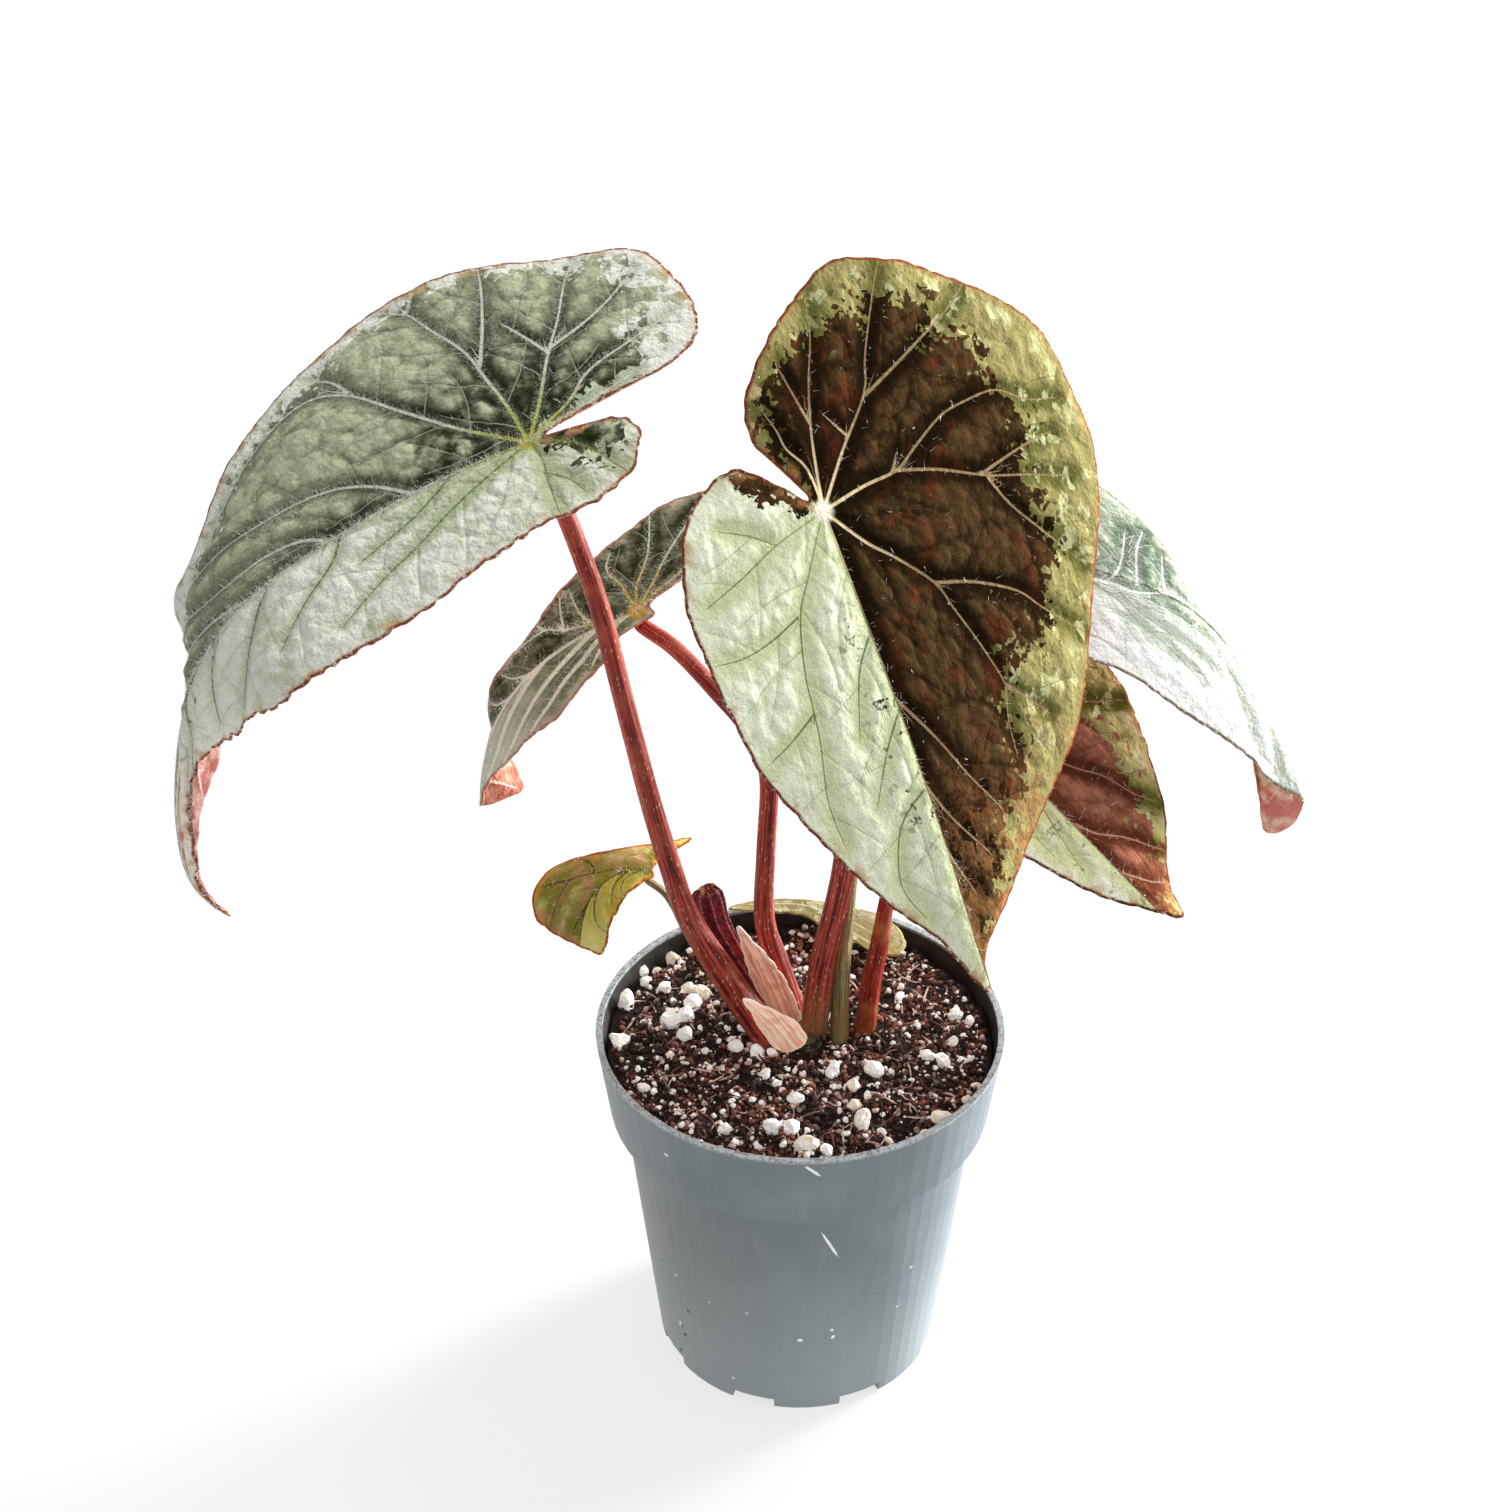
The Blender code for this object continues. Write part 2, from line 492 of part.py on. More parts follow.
def pot():
    bm = bmesh.new()
    turned(bm, pot_outside() + pot_inside()[::-1], POT_SIDES)
    made = add_object("pot", bm, "pot")
    bm = bmesh.new()
    for k in range(NOTCHES):
        turn = Matrix.Rotation(2 * math.pi * (k + 0.6) / NOTCHES, 4, "Z")
        shift = Matrix.Translation((BASE_RADIUS + 1.0 - NOTCH_DEPTH / 2, 0, 0))
        size = Matrix.Diagonal((NOTCH_DEPTH, NOTCH_WIDTH, 2 * NOTCH_HEIGHT, 1))
        bmesh.ops.create_cube(bm, size=1.0, matrix=turn @ shift @ size)
    cut(made, cutter("notches", bm))
    return made


def soil_height(x, y):
    """The lumpy top of the soil, calm round the stems."""
    distance = math.hypot(x, y)
    dome = SOIL_DOME * (1 - (distance / RIM_RADIUS) ** 2)
    lumps = (math.sin(0.42 * x + 0.9) * math.cos(0.37 * y - 0.4)
             + 0.6 * math.sin(0.71 * x - 0.55 * y))
    calm = min(1.0, distance / 20.0)
    return SOIL_LEVEL + dome + SOIL_LUMP * lumps * calm


def soil_body():
    """A plug that fills the pot, with a lumpy top."""
    bm = bmesh.new()
    room = GAP + RIM_RADIUS * (1 - math.cos(math.pi / POT_SIDES))
    inside = pot_inside(room)
    wall = inside[:-1]
    top_edge = np.interp(SOIL_LEVEL, [inside[-2][1], inside[-1][1]],
                         [inside[-2][0], inside[-1][0]])
    rings = []
    for radius, height in wall:
        rings.append([(radius, height, k) for k in range(SOIL_SIDES)])
    for radius in (top_edge,) + SOIL_RINGS[:0:-1]:
        rings.append([(radius, None, k) for k in range(SOIL_SIDES)])
    made = []
    for ring in rings:
        verts = []
        for radius, height, k in ring:
            angle = 2 * math.pi * k / SOIL_SIDES
            x, y = radius * math.cos(angle), radius * math.sin(angle)
            verts.append(bm.verts.new((x, y, soil_height(x, y) if height is None else height)))
        made.append(verts)
    for low, high in zip(made, made[1:]):
        for k in range(SOIL_SIDES):
            after = (k + 1) % SOIL_SIDES
            bm.faces.new((low[k], low[after], high[after]))
            bm.faces.new((low[k], high[after], high[k]))
    bm.faces.new(made[0][::-1])
    middle = bm.verts.new((0, 0, soil_height(0, 0)))
    for k in range(SOIL_SIDES):
        bm.faces.new((made[-1][k], made[-1][(k + 1) % SOIL_SIDES], middle))
    return add_object("soil", bm, "soil", smooth=False)


def stem_feet():
    """Where stems go into the soil, as (x, y, radius)."""
    feet = [(*CROWN_AT, CROWN_RADIUS)]
    for name, points in STALKS.items():
        if points[0][2] == HOLE_FLOOR:
            low, high = points[0], points[1]
            feet.append(((low[0] + high[0]) / 2, (low[1] + high[1]) / 2, max(low[3], high[3])))
    return feet


def grain_places(rng, feet):
    """Scattered grains that keep clear of each other, the stems and the wall."""
    places = []
    while len(places) < GRAINS:
        radius = rng.uniform(*(BIG_RADIUS if len(places) < BIG_GRAINS else SMALL_RADIUS))
        distance = (RIM_RADIUS - GRAIN_TO_WALL) * math.sqrt(rng.random())
        angle = rng.uniform(0, 2 * math.pi)
        x, y = distance * math.cos(angle), distance * math.sin(angle)
        clear = all(math.hypot(x - px, y - py) > GRAIN_SPREAD * (radius + pr)
                    for px, py, pr in places)
        apart = all(math.hypot(x - fx, y - fy) > radius + fr + GRAIN_TO_STEM
                    for fx, fy, fr in feet)
        if clear and apart:
            places.append((x, y, radius))
    return places


def soil():
    rng = random.Random(SEED)
    made = soil_body()
    feet = stem_feet()
    bm = bmesh.new()
    for x, y, radius in grain_places(rng, feet):
        _, ground, _, _ = made.ray_cast(Vector((x, y, POT_HEIGHT)) * MM, Vector((0, 0, -1)))
        turn = Matrix.Rotation(rng.uniform(0, math.pi), 4, Vector((1, rng.random(), 1)))
        size = Matrix.Diagonal((radius, radius * rng.uniform(0.75, 1.0), radius * 0.85, 1))
        place = Matrix.Translation((x, y, ground.z / MM + GRAIN_LIFT * radius))
        bmesh.ops.create_icosphere(bm, subdivisions=1, radius=1.0, matrix=place @ turn @ size)
    cut(made, cutter("grains", bm), "UNION")
    return made


def open_holes(target, stems):
    """Plain holes for the stems, from the hole floor up to the height of the rim."""
    floor = HOLE_FLOOR - 2 * GAP
    for x, y, radius in stems:
        bm = bmesh.new()
        place = Matrix.Translation((x, y, (floor + POT_HEIGHT) / 2))
        bmesh.ops.create_cone(bm, cap_ends=True, segments=HOLE_SIDES, radius1=radius,
                              radius2=radius, depth=POT_HEIGHT - floor, matrix=place)
        cut(target, cutter("hole", bm))


def hole_sizes():
    """Each hole takes in its whole stem from the floor of the hole up to the soil's top."""
    flat_share = math.cos(math.pi / HOLE_SIDES)
    holes = [(*CROWN_AT, CROWN_RADIUS / flat_share + GAP)]
    ceiling = SOIL_LEVEL + SOIL_DOME + 2 * SOIL_LUMP
    for name, points in STALKS.items():
        if points[0][2] != HOLE_FLOOR:
            continue
        buried = [point for point in smooth_curve(points, 8, closed=False) if point[2] < ceiling]
        xs, ys = [point[0] for point in buried], [point[1] for point in buried]
        x, y = (min(xs) + max(xs)) / 2, (min(ys) + max(ys)) / 2
        reach = max(math.hypot(point[0] - x, point[1] - y) + point[3] for point in buried)
        holes.append((x, y, reach / flat_share + GAP))
    return holes


def main():
    clear_scene()
    pot()
    ground = soil()
    open_holes(ground, hole_sizes())
    crown()
    for name in STALKS:
        stalk(name)
    for name, leaf in LEAVES.items():
        blade(name, leaf, name)
    for name, leaf in SHEATHS.items():
        blade(name, leaf, "sheath")
    young_leaf()


main()
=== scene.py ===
"""A begonia in a nursery pot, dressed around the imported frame.

Lengths are in millimetres until a mesh is made. Leaf tables are drawn flat: x runs along the
midrib from the top of the stalk, and y runs across it to the left."""
import math
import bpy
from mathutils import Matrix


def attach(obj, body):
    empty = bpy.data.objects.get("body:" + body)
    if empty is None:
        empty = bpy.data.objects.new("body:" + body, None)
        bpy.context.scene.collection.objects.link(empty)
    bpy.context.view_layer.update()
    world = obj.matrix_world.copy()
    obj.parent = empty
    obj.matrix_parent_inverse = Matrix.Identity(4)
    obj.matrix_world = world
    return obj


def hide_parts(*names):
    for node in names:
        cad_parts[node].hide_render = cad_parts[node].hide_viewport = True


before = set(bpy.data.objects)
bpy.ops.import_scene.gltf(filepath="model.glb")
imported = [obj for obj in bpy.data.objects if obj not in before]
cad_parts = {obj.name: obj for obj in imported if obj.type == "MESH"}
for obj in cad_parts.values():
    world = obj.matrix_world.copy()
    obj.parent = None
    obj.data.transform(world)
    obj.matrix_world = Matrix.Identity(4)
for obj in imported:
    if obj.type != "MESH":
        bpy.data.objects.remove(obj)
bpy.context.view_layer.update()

from types import SimpleNamespace

import bmesh
import bpy
import numpy as np
from mathutils import Matrix, Vector

MM = 0.001
TURN = 2 * math.pi
SEED = 11

# pot and soil, as in the solids
RIM_RADIUS = 40.0
POT_HEIGHT = 76.5
BASE_RADIUS = 28.5
BAND_HEIGHT = 18.0
BAND_FOOT_RADIUS = 37.6
BODY_TOP_RADIUS = 34.8
WALL = 1.2
SOIL_ROOM = 0.45              # room between the soil and the pot
SOIL_LEVEL = 71.8
SOIL_DOME = 1.2               # how much higher the middle lies than the edge
SOIL_LUMP = 0.7               # height of the lumps
CALM_REACH = 20.0             # the lumps reach their full height this far from the middle
HOLE_FLOOR = 64.0             # the stems reach down to here
BED_SIDES, BED_RINGS = 220, 70
BED_MIDDLE = 0.01             # radius of the small face that closes its underside
BED_BEVEL_IN, BED_BEVEL_UP = 1.2, 1.4
BED_BEND_BELOW, BED_BEND_ABOVE = 0.4, 1.4      # where it widens at the foot of the band
BED_TOUCH = 0.05              # how much nearer its top edge comes to the wall

# what lies on the soil
LITTER_EDGE = 2.9             # kept free inside the rim
CRUMBS = 7400
CRUMB_SIZE = (0.2, 0.85)      # radii
CRUMB_ROOM = 0.4              # kept free round a stem
PERLITE = 900
PERLITE_SIZE = (0.16, 0.8)
PERLITE_ROOM = 1.0
PERLITE_GLOW = 0.22
GRAIN_WIDTH = (0.6, 1.0)      # a grain's sizes, swellings and dents are shares of its radius
GRAIN_DEPTH_MOST = 0.9
GRAIN_SWELL, GRAIN_DENT = 0.6, 0.6
FIBRES = 620
FIBRE_ROOM = 3.0
FIBRE_LENGTH = (1.5, 5.0)
FIBRE_WIDTH = (0.09, 0.24)
FIBRE_TAPER = (0.3, 1, 1, 0.9, 0.25)
FIBRE_SIDES = 5
FIBRE_BOW = 0.6               # how far a fibre's middle bends aside
FIBRE_LIFT = (0.3, 0.9)
FIBRE_TILT = 1.0              # how much higher one end may lie
ANY_TURN = 6.28               # chance turns lie between 0 and this, in radians

# stems, as in the solids
GAP = 0.3
STALK_TOP_ROOM = 0.15
STALK_SIDES = 24
STALK_STEPS, YOUNG_STEPS = 8, 10               # rings from one point of a route to the next
STALK_BEND = 2.5              # radii below its top, where a stalk turns towards its leaf
STALK_TAPER = (0.95, 0.7)     # how much of its last radius is left there and at the top
CROWN_AT = (1.6, -1.2)
CROWN_RADIUS = 2.9
CROWN_TOP = 75.4
CROWN_SIDES, CROWN_RINGS = 40, 24
CROWN_HEIGHTS = (HOLE_FLOOR, 68, 71, 73.5, CROWN_TOP)
CROWN_WIDTHS = (0.8, 1, 1, 0.94, 0.8)
PLEATS = 9
PLEAT_DEPTH = 0.16
PLEAT_TWIST = 1.5             # how far the pleats turn from foot to top, in radians
YOUNG_SIDES = 120
YOUNG_SLANT = 1.6             # how far one side of its top sinks

# blades
SPINE_START, SPINE_END = -70, 170
SPINE_SOFTNESS = 9            # how far either way a change of heading is spread
RIM_STEPS, LINE_STEPS = 12, 4
PEEP = 0.2                    # the step over which a blade's facing is measured
TWIG_PITCH, TWIG_REACH, TWIG_STEP = 6.0, 17.0, 1.6
TWIG_ANGLE = (44, 62)         # degrees between a side vein and its main vein
TWIG_BEND = (-2, 6)           # degrees that it turns at each step
TWIG_TO_RIM, TWIG_TO_VEIN = 1.7, 1.3
TOOTH_PITCH = 4.6
TOOTH_CHANCE = 0.25
VEIN_VALLEY, TWIG_VALLEY = 2.2, 1.1
FIELD_DRIFT = 0.42            # how far a field's middle strays, as a share of the pitch
FIELD_CREASE = 0.42           # how wide the creases are
MARGIN_CALM = 4               # the swelling fades over this far from the margin
RIB_HEIGHT, RIB_WIDTH = 0.3, 0.45
THIN_REACH = 5                # a blade thins towards its margin over this far
THIN_SHARE = 0.45             # what is left of its thickness there
SHEATH_AROUND, SHEATH_RINGS = 160, 22
HAIR_LENGTH = 1.6
HAIR_LENGTHS = (0.4, 1.1)     # the shortest and the longest, as shares of it
HAIR_WIDTH = 0.07
HAIR_TONES = ("#e9e9df", "#ffffff")
HAIR_STRAY = 0.25
HAIR_LEAN, HAIR_RISE = 0.8, 0.7
HAIR_ANYWHERE = 0.03          # how many stand away from veins and margin
HAIR_PLACES = {"vein_far": (2.0, 0.6), "twig_far": (0.25, 0.5), "edge": (0.5, 0.5)}

# each blade's mesh: points round it, rings, and how many hairs stand on it
BLADES = {"leaf_left": (480, 103, 8000), "leaf_front": (440, 86, 1200),
          "leaf_back_left": (320, 52, 2400), "leaf_back_right": (360, 56, 2400),
          "leaf_right": (300, 50, 800), "leaf_small": (240, 32, 300), "leaf_low": (180, 24, 150)}

# stalks: the furrows' tone, the ridges' tone, blotches and the foot, and then the flecks
RED = (("#5e1611", "#c24e3c", "#a4503a", "#8f7a4c"), "#f4c4b2")
RUST = (("#701f14", "#b03a24", "#c0703c", "#a5803f"), "#e0a880")
OLIVE = (("#6f6238", "#a89a64", "#9a6a48", "#8f8f50"), "#d6cca4")
STALK_TONES = {"stalk_right": RUST, "stalk_back_right": OLIVE, "stalk_small": OLIVE,
               "stalk_low": OLIVE}
SHEATH_TONES = {"sheath_upright": ("#c23e2e", "#ffc8ae", 0.13),      # and how much it glows
                "sheath_low": ("#e8705a", "#fff4dc", 0.3)}
SHEATH_LIGHT = "#ffd3ae"

# looks
LEAF_GLOSS = 0.02
SOFT_GLOSS = 0.2              # of stalks, sheaths and the young leaf
LEAF_NOISES = {"broad": 0.06, "patchy": 0.25, "fine": 1.1, "grain": 4.5}    # noise scales
LEAF_TILES = {"tile": 0.32, "chip": 0.95, "fleck": 0.6}                   # cell scales
TWIG_WIDTH = 0.18             # half of it
LOBE_JAG = 2.6                # how far the dark lobe's edge jumps from cell to cell
FLECK_TONE = "#1c1b0a"

# camera, floor and lights, in metres
CAMERA_AT = (0.0, -0.4653, 0.4554)
CAMERA_DIP = 34.12            # degrees below level
CAMERA_TURN = 1.06
SENSOR, LENS = 36.0, 72.7
FLOOR_REACH = 6.0
FLOOR_GLOW = 0.73
FLOOR_TONES = ("#7b7b7b", "#7d7d7d")
SKY_LIGHT_FROM = (0.75, 0.35, 0.75)
SKY_FALL = {"From Min": -0.7, "From Max": 1.0, "To Min": 0.28, "To Max": 0.88}
# lamps: place, what it looks at, size, power and colour
LAMPS = {"key": ((0.55, 0.45, 1.05), (0, 0, 0.15), 0.4, 10.0, (1.0, 0.99, 0.97)),
         "rim": ((1.0, 0.68, 0.2), (0, 0, 0.06), 0.35, 50.0, (1, 1, 1))}

# Each leaf grows from the top of its stalk, "at". "bend" gives, at distances along the midrib,
# the way it heads (0 is +X, 90 is +Y), how far it dips, its roll, and how far its left and right
# halves fold up. "curl" is how fast each half bends down across its width. "rim" is the flat
# outline, as (along the midrib, across it to the left), going once round from the notch. "wave"
# is the height and number of the waves in the margin, "thick" the thickness of the blade, and
# "teeth" the height of the teeth on the big half and on the other. "big" is 1 or -1 where the
# big half lies to the left or right, "slit" a point in the notch and "hub" where the rings of
# the mesh begin. "swell" is how far the fields between the veins swell, and "pitch" how wide
# they are. "veins" are drawn out from the stalk, and "near" are those of the other half. "zone"
# is the dark part of the big half and "lobe" that of the other. "ragged" says how far the edges
# of these stray, at places along the midrib.
PLAIN_LEAF = {"teeth": (0.25, 0.25), "big": 1, "slit": (-20, 0), "hub": (0, 0), "swell": 0.9,
              "pitch": 5.0, "veins": [], "near": [], "ragged": ((0, 1), (1, 1))}
LEAVES = {
    "leaf_left": {
        "at": (-48.6, 8.0, 200.9), "curl": (-0.1, -0.15), "thick": 0.8, "wave": (0.5, 11),
        "big": -1, "slit": (-24, -3.5), "swell": 1.6, "pitch": 6.0, "teeth": (0.3, 0.7),
        "ragged": ((-22, -8, 2, 30), (3.2, 2.4, 1.0, 0.6)),
        "bend": [(-60, 197, 8, -16, -2, 0), (0, 197, 14, -16, -2, 0), (30, 199, 24, -14, -4, -2),
                 (55, 199, 31, -8, -10, -3), (70, 200, 60, 0, -22, 0), (79, 199, 70, 0, -34, 2),
                 (90, 199, 79, 0, -52, -52), (108, 199, 88, 0, -72, -74),
                 (120, 199, 98, 0, -74, -74), (132, 198, 152, 0, -74, -74)],
        "rim": [(-4, -0.85), (-15, -3.1), (-24, -5.2), (-34, -11), (-37, -21), (-35, -32),
                (-31, -39.5), (-24, -43), (-16, -45), (-7, -48.4), (3, -50.6), (13, -51),
                (23, -49.3), (34, -46), (44, -41.8), (52, -37.2), (58, -32.4), (64, -27.5),
                (69, -24.8), (75, -24.6), (80, -20.5), (88, -15.5), (95, -11), (103, -6.6),
                (110, -4.4), (118, -2.6), (125, -1.5), (131, 0), (125, 1.4), (118, 2.2),
                (110, 2.7), (102, 3.2), (95, 4.4), (90, 6), (86, 8.5), (82, 11), (75, 15),
                (62, 22.5), (50, 24), (34, 24), (17, 22), (9, 20), (-1, 19), (-9, 16.5),
                (-15, 13), (-18, 8), (-18, 4), (-14, 1), (-5, 0.35)],
        "veins": [[(0, 0), (10, -9.5), (18.5, -21.5), (24.5, -31.5), (30.5, -37.5), (37, -38.5),
                   (46, -35.5), (55, -30), (61, -25)], [(24.5, -31.5), (27, -39), (31, -44)],
                  [(0, 0), (1, -10.5), (2.5, -19), (4, -28), (8, -38.5), (10.5, -45.5), (15, -50)],
                  [(10.5, -45.5), (8, -50.5)], [(2.5, -23), (-0.5, -32.5), (-3, -43), (-4, -49.5)],
                  [(0, 0), (-4.5, -8.5), (-9, -19), (-13.5, -28), (-18, -39), (-21.5, -43.5)],
                  [(-10, -21), (-17.5, -24.5), (-23.5, -28.5), (-29.5, -34)],
                  [(-9.5, -20), (-6, -27.5), (-4, -31.5)],
                  [(0, 0), (-9, -6), (-13.5, -11), (-17.5, -13.5), (-23.5, -16), (-32, -20)],
                  [(-3, -1.5), (-8.5, -3), (-13.5, -4.5), (-22, -8)],
                  [(22.5, 0), (27.5, -6), (34, -11), (41.5, -14), (50, -16), (57.5, -18), (66, -20)],
                  [(39, 0), (44, -4.5), (51, -7), (58, -8), (66, -11), (74, -17)],
                  [(57, 0), (64, -3), (74, -8), (82, -15)], [(70, 0), (78, -3), (88, -9)],
                  [(86, 0), (94, -4), (102, -6)]],
        "near": [[(0, 0), (12, 5), (19, 8), (26.5, 11.5), (33, 13.5), (44, 18)],
                 [(37, 0), (39, 3), (42, 5.5), (47.5, 8.5), (56, 14)],
                 [(0, 0), (-1, 5), (-0.5, 9), (0, 17.5)], [(-0.5, 8), (-4, 11), (-6, 15)],
                 [(0, 0), (-6.5, 3), (-10, 6.5), (-14, 14)],
                 [(52, 0), (58, 5), (66, 11), (72, 14)], [(66, 0), (72, 4), (80, 8)],
                 [(14.5, 0), (24, 5), (36, 8)], [(80, 0), (88, 3), (94, 4)]],
        "zone": [(-3, -0.5), (-8, -2), (-14.5, -4), (-21.5, -7.5), (-26, -12.5), (-26, -17),
                 (-29.5, -19.5), (-30.5, -25.5), (-29, -31), (-26.5, -37), (-21, -42),
                 (-12, -45),
                 (-4, -48), (5, -49), (12, -48.5), (20, -48), (30, -44), (39, -40.5),
                 (48, -36.5), (54, -31.5), (60, -25), (66, -21), (72, -17), (80, -12), (90, -6),
                 (100, -3), (104, 0), (104, 15), (-15, 15)],
        "lobe": [(-1, -6), (-20, -6), (-18, 2), (-17, 6.5), (-12, 8), (-7, 7.5), (-3, 4), (-1, 2)]},
    "leaf_front": {
        "at": (3.2, -14.0, 199.8), "curl": (-0.1, -0.1), "thick": 0.8, "wave": (0.35, 12),
        "big": 1, "slit": (-14, -8.5), "swell": 1.1, "teeth": (0.25, 0.3),
        "bend": [(-60, -51, 54, 0, -3, -3), (0, -51, 54, 0, -3, -3), (25, -51, 54, 0, -3, -3),
                 (50, -51, 58, 0, -6, -6), (75, -51, 62, 0, -15, -15), (90, -50, 66, 0, -25, -25)],
        "rim": [(-3, -1.75), (-8, -4.7), (-14, -7.7), (-22, -6.5), (-30, 1), (-36, 11),
                (-39.5, 21), (-37.2, 32), (-32.3, 42.6), (-26.5, 52.3), (-18, 61), (-8, 64.5),
                (3, 65.5), (14.2, 62), (26.5, 54.8), (39, 48), (50, 41), (59, 33), (67, 22.5), (74, 13),
                (79, 5.5), (83, 1.5), (88, 0), (82, -3.5), (74, -7.5), (66, -14), (54, -21),
                (38, -28), (30, -30), (19, -31), (9, -31), (1, -29), (-4, -27), (-9, -22),
                (-12, -15), (-10.4, -10.6), (-3.2, -3.3)],
        "veins": [[(0, 0), (-7.5, 0), (-12, -2.5), (-15.5, -3), (-20, -4.5)],
                  [(0, 0), (-8, 2), (-14.5, 4), (-21.5, 7), (-29, 11), (-36, 13)],
                  [(-14.5, 4), (-21.5, 2.5), (-26, 1.5)],
                  [(0, 0), (-8.5, 8.5), (-14.5, 15.5), (-18, 18.5), (-21.5, 20), (-27, 23.5),
                   (-37, 30.5)],
                  [(-16, 17.5), (-19, 26), (-22, 34), (-25.5, 43), (-29, 49)],
                  [(-10.5, 10.5), (-15, 7.5)],
                  [(0, 0), (-1.5, 10), (-2, 18), (-4.5, 23.5), (-8, 31.5), (-9, 38), (-9, 46.5),
                   (-5.5, 53), (-4, 60)],
                  [(-2, 18), (0.5, 27), (4.5, 37), (7, 46), (10, 56)],
                  [(4, 36), (2, 48.5), (1.5, 56)], [(4.5, 37), (11, 40), (19, 46.5), (25.5, 52)],
                  [(-2, 17), (-4.5, 19)],
                  [(0, 0), (7.5, 6), (12, 11), (18.5, 17), (24, 19), (29, 21), (34.5, 23),
                   (40, 24.5), (46, 23), (52, 23)],
                  [(18.5, 17), (21, 25.5), (25.5, 34.5), (30, 39), (37, 47)],
                  [(39.5, 24.5), (43, 28), (48, 33)], [(34, 0), (43, 5.5), (51.5, 10), (60, 16)],
                  [(62, 0), (71, 4)], [(50, 0), (58, 4), (66, 10)]],
        "near": [[(0, 0), (2.5, -11), (5.5, -19), (8, -27)], [(2.5, -11), (-0.5, -15), (-3, -20)],
                 [(1, -1), (9.5, -7.5), (15, -11.5), (24, -14.5), (31, -15.5), (37, -16.5),
                  (46, -18.5), (54, -18)], [(15, -12), (17, -18), (18, -24), (17.5, -29)],
                 [(31, -15.5), (34, -21), (36, -26)], [(50, 0), (55, -7), (64.5, -10), (72, -7)],
                 [(22, 0), (28, -5), (38, -9)], [(36, 0), (42, -5), (50, -10)]],
        "zone": [(-2, -2), (-6.5, -5), (-11.5, -7.5), (-17, -6.5), (-22, -3), (-25, 1),
                 (-28.5, 6), (-29, 11), (-30, 15.5), (-30.5, 21), (-32, 26), (-29.5, 32),
                 (-29, 38), (-23, 36), (-18, 44), (-11, 46), (-5.5, 50), (-1, 51), (2, 47),
                 (12, 45.5), (20, 46.5), (24, 43), (30, 40), (36.5, 37), (36.5, 27), (41, 24.5),
                 (46.5, 23), (52, 25), (58, 23), (60, 15.5), (64, 13.5), (70, 12), (76, 7),
                 (82, 2), (86, 0.6), (88, 0), (88, -15), (4, -15)],
        "lobe": [(-1, -3.5), (-4.5, -8.5), (-7, -14), (-11, -15), (-11, -11), (-6, -6),
                 (-2.5, -3.2)]},
    "leaf_back_left": {
        "at": (-31.5, 26.0, 155.2), "curl": (-0.15, -0.1), "thick": 0.8, "wave": (0.5, 10),
        "big": -1, "slit": (-14, -3),
        "bend": [(-60, 195, 4, -24, -3, -3), (0, 195, 12, -24, -3, -3), (20, 198, 33, -24, -5, -4),
                 (36, 210, 60, -14, -12, -14), (44, 214, 80, -6, -18, -80),
                 (56, 215, 92, -4, -20, -88), (66, 215, 92, -4, -20, -88)],
        "rim": [(-3, -0.9), (-9, -3.2), (-17, -7), (-24, -13), (-25, -19.5), (-20, -23),
                (-15, -23), (-9.7, -21.6), (-4.3, -19.3), (2.2, -16.3), (9, -12.6), (15, -9.7),
                (21, -7.2), (27, -6.2), (34, -7), (41, -8), (48, -9.3), (54, -10.2),
                (54.5, -5), (54, 0), (50, 1), (46, 2.6), (40.5, 6.2), (33, 8.6), (27, 10.2),
                (22, 10.5), (16, 9), (10, 7), (6, 4.6), (2, 3.2), (-2.8, 1.6)],
        "veins": [[(0, 0), (-1.5, -5.5), (-3.5, -8.5), (-6, -13), (-8.5, -21)],
                  [(0, 0), (-4.5, -5), (-8, -9.5), (-13, -15), (-18, -19.5)],
                  [(0, 0), (-5, -3), (-11, -6), (-20, -12)],
                  [(0, 0), (1, -7), (2.5, -11.5), (1, -15)],
                  [(5, 0), (13.5, -3), (17.5, -6), (26, -6)], [(9, -1.5), (10, -5.5), (10, -9.5)],
                  [(14, -3), (13, -7.5), (12, -10)], [(17, -6), (18, -8)],
                  [(24, 0), (27, -2.5), (28, -5)], [(30, 0), (33, -2.5), (34, -6)],
                  [(36, 0), (39, -3), (41, -7)], [(42, 0), (45, -4), (48, -8)],
                  [(48, 0), (50, -4), (53, -8)]],
        "near": [[(2, 0), (9, 2.5), (13.5, 4.5), (19, 6), (25, 7.5), (32, 8)],
                 [(8, 0), (16, 2.5), (26, 4.5), (36, 5.5), (42, 4.5)],
                 [(20, 0), (30, 1.8), (40, 2.4), (47, 1.5)], [(4, 0.5), (8, 3.5), (12, 6.5)]]},
    "leaf_back_right": {
        "at": (34.8, 32.0, 165.7), "curl": (-0.15, -0.1), "thick": 0.8, "wave": (0.5, 10),
        "big": 1, "slit": (-16, 5),
        "bend": [(-60, -15, 4, 24, -3, -3), (0, -15, 8, 24, -3, -3), (25, -13, 12, 20, -4, -4),
                 (45, -12, 40, 12, -12, -8), (60, -12, 57, 4, -34, -18), (80, -12, 66, 0, -74, -30),
                 (90, -12, 74, 0, -88, -34), (102, -12, 90, 0, -88, -34)],
        "rim": [(-3, 0.95), (-10, 3.5), (-19, 7), (-27, 13), (-30, 20), (-27, 27), (-19, 30),
                (-8, 30), (2, 28), (11, 25.3), (19, 22.8), (27, 18.2), (33, 13.4), (39, 8.9),
                (47, 6.9), (56, 6.8), (70, 7.9), (80, 8.8), (86, 9.3), (89.5, 9.6), (92, 8.5),
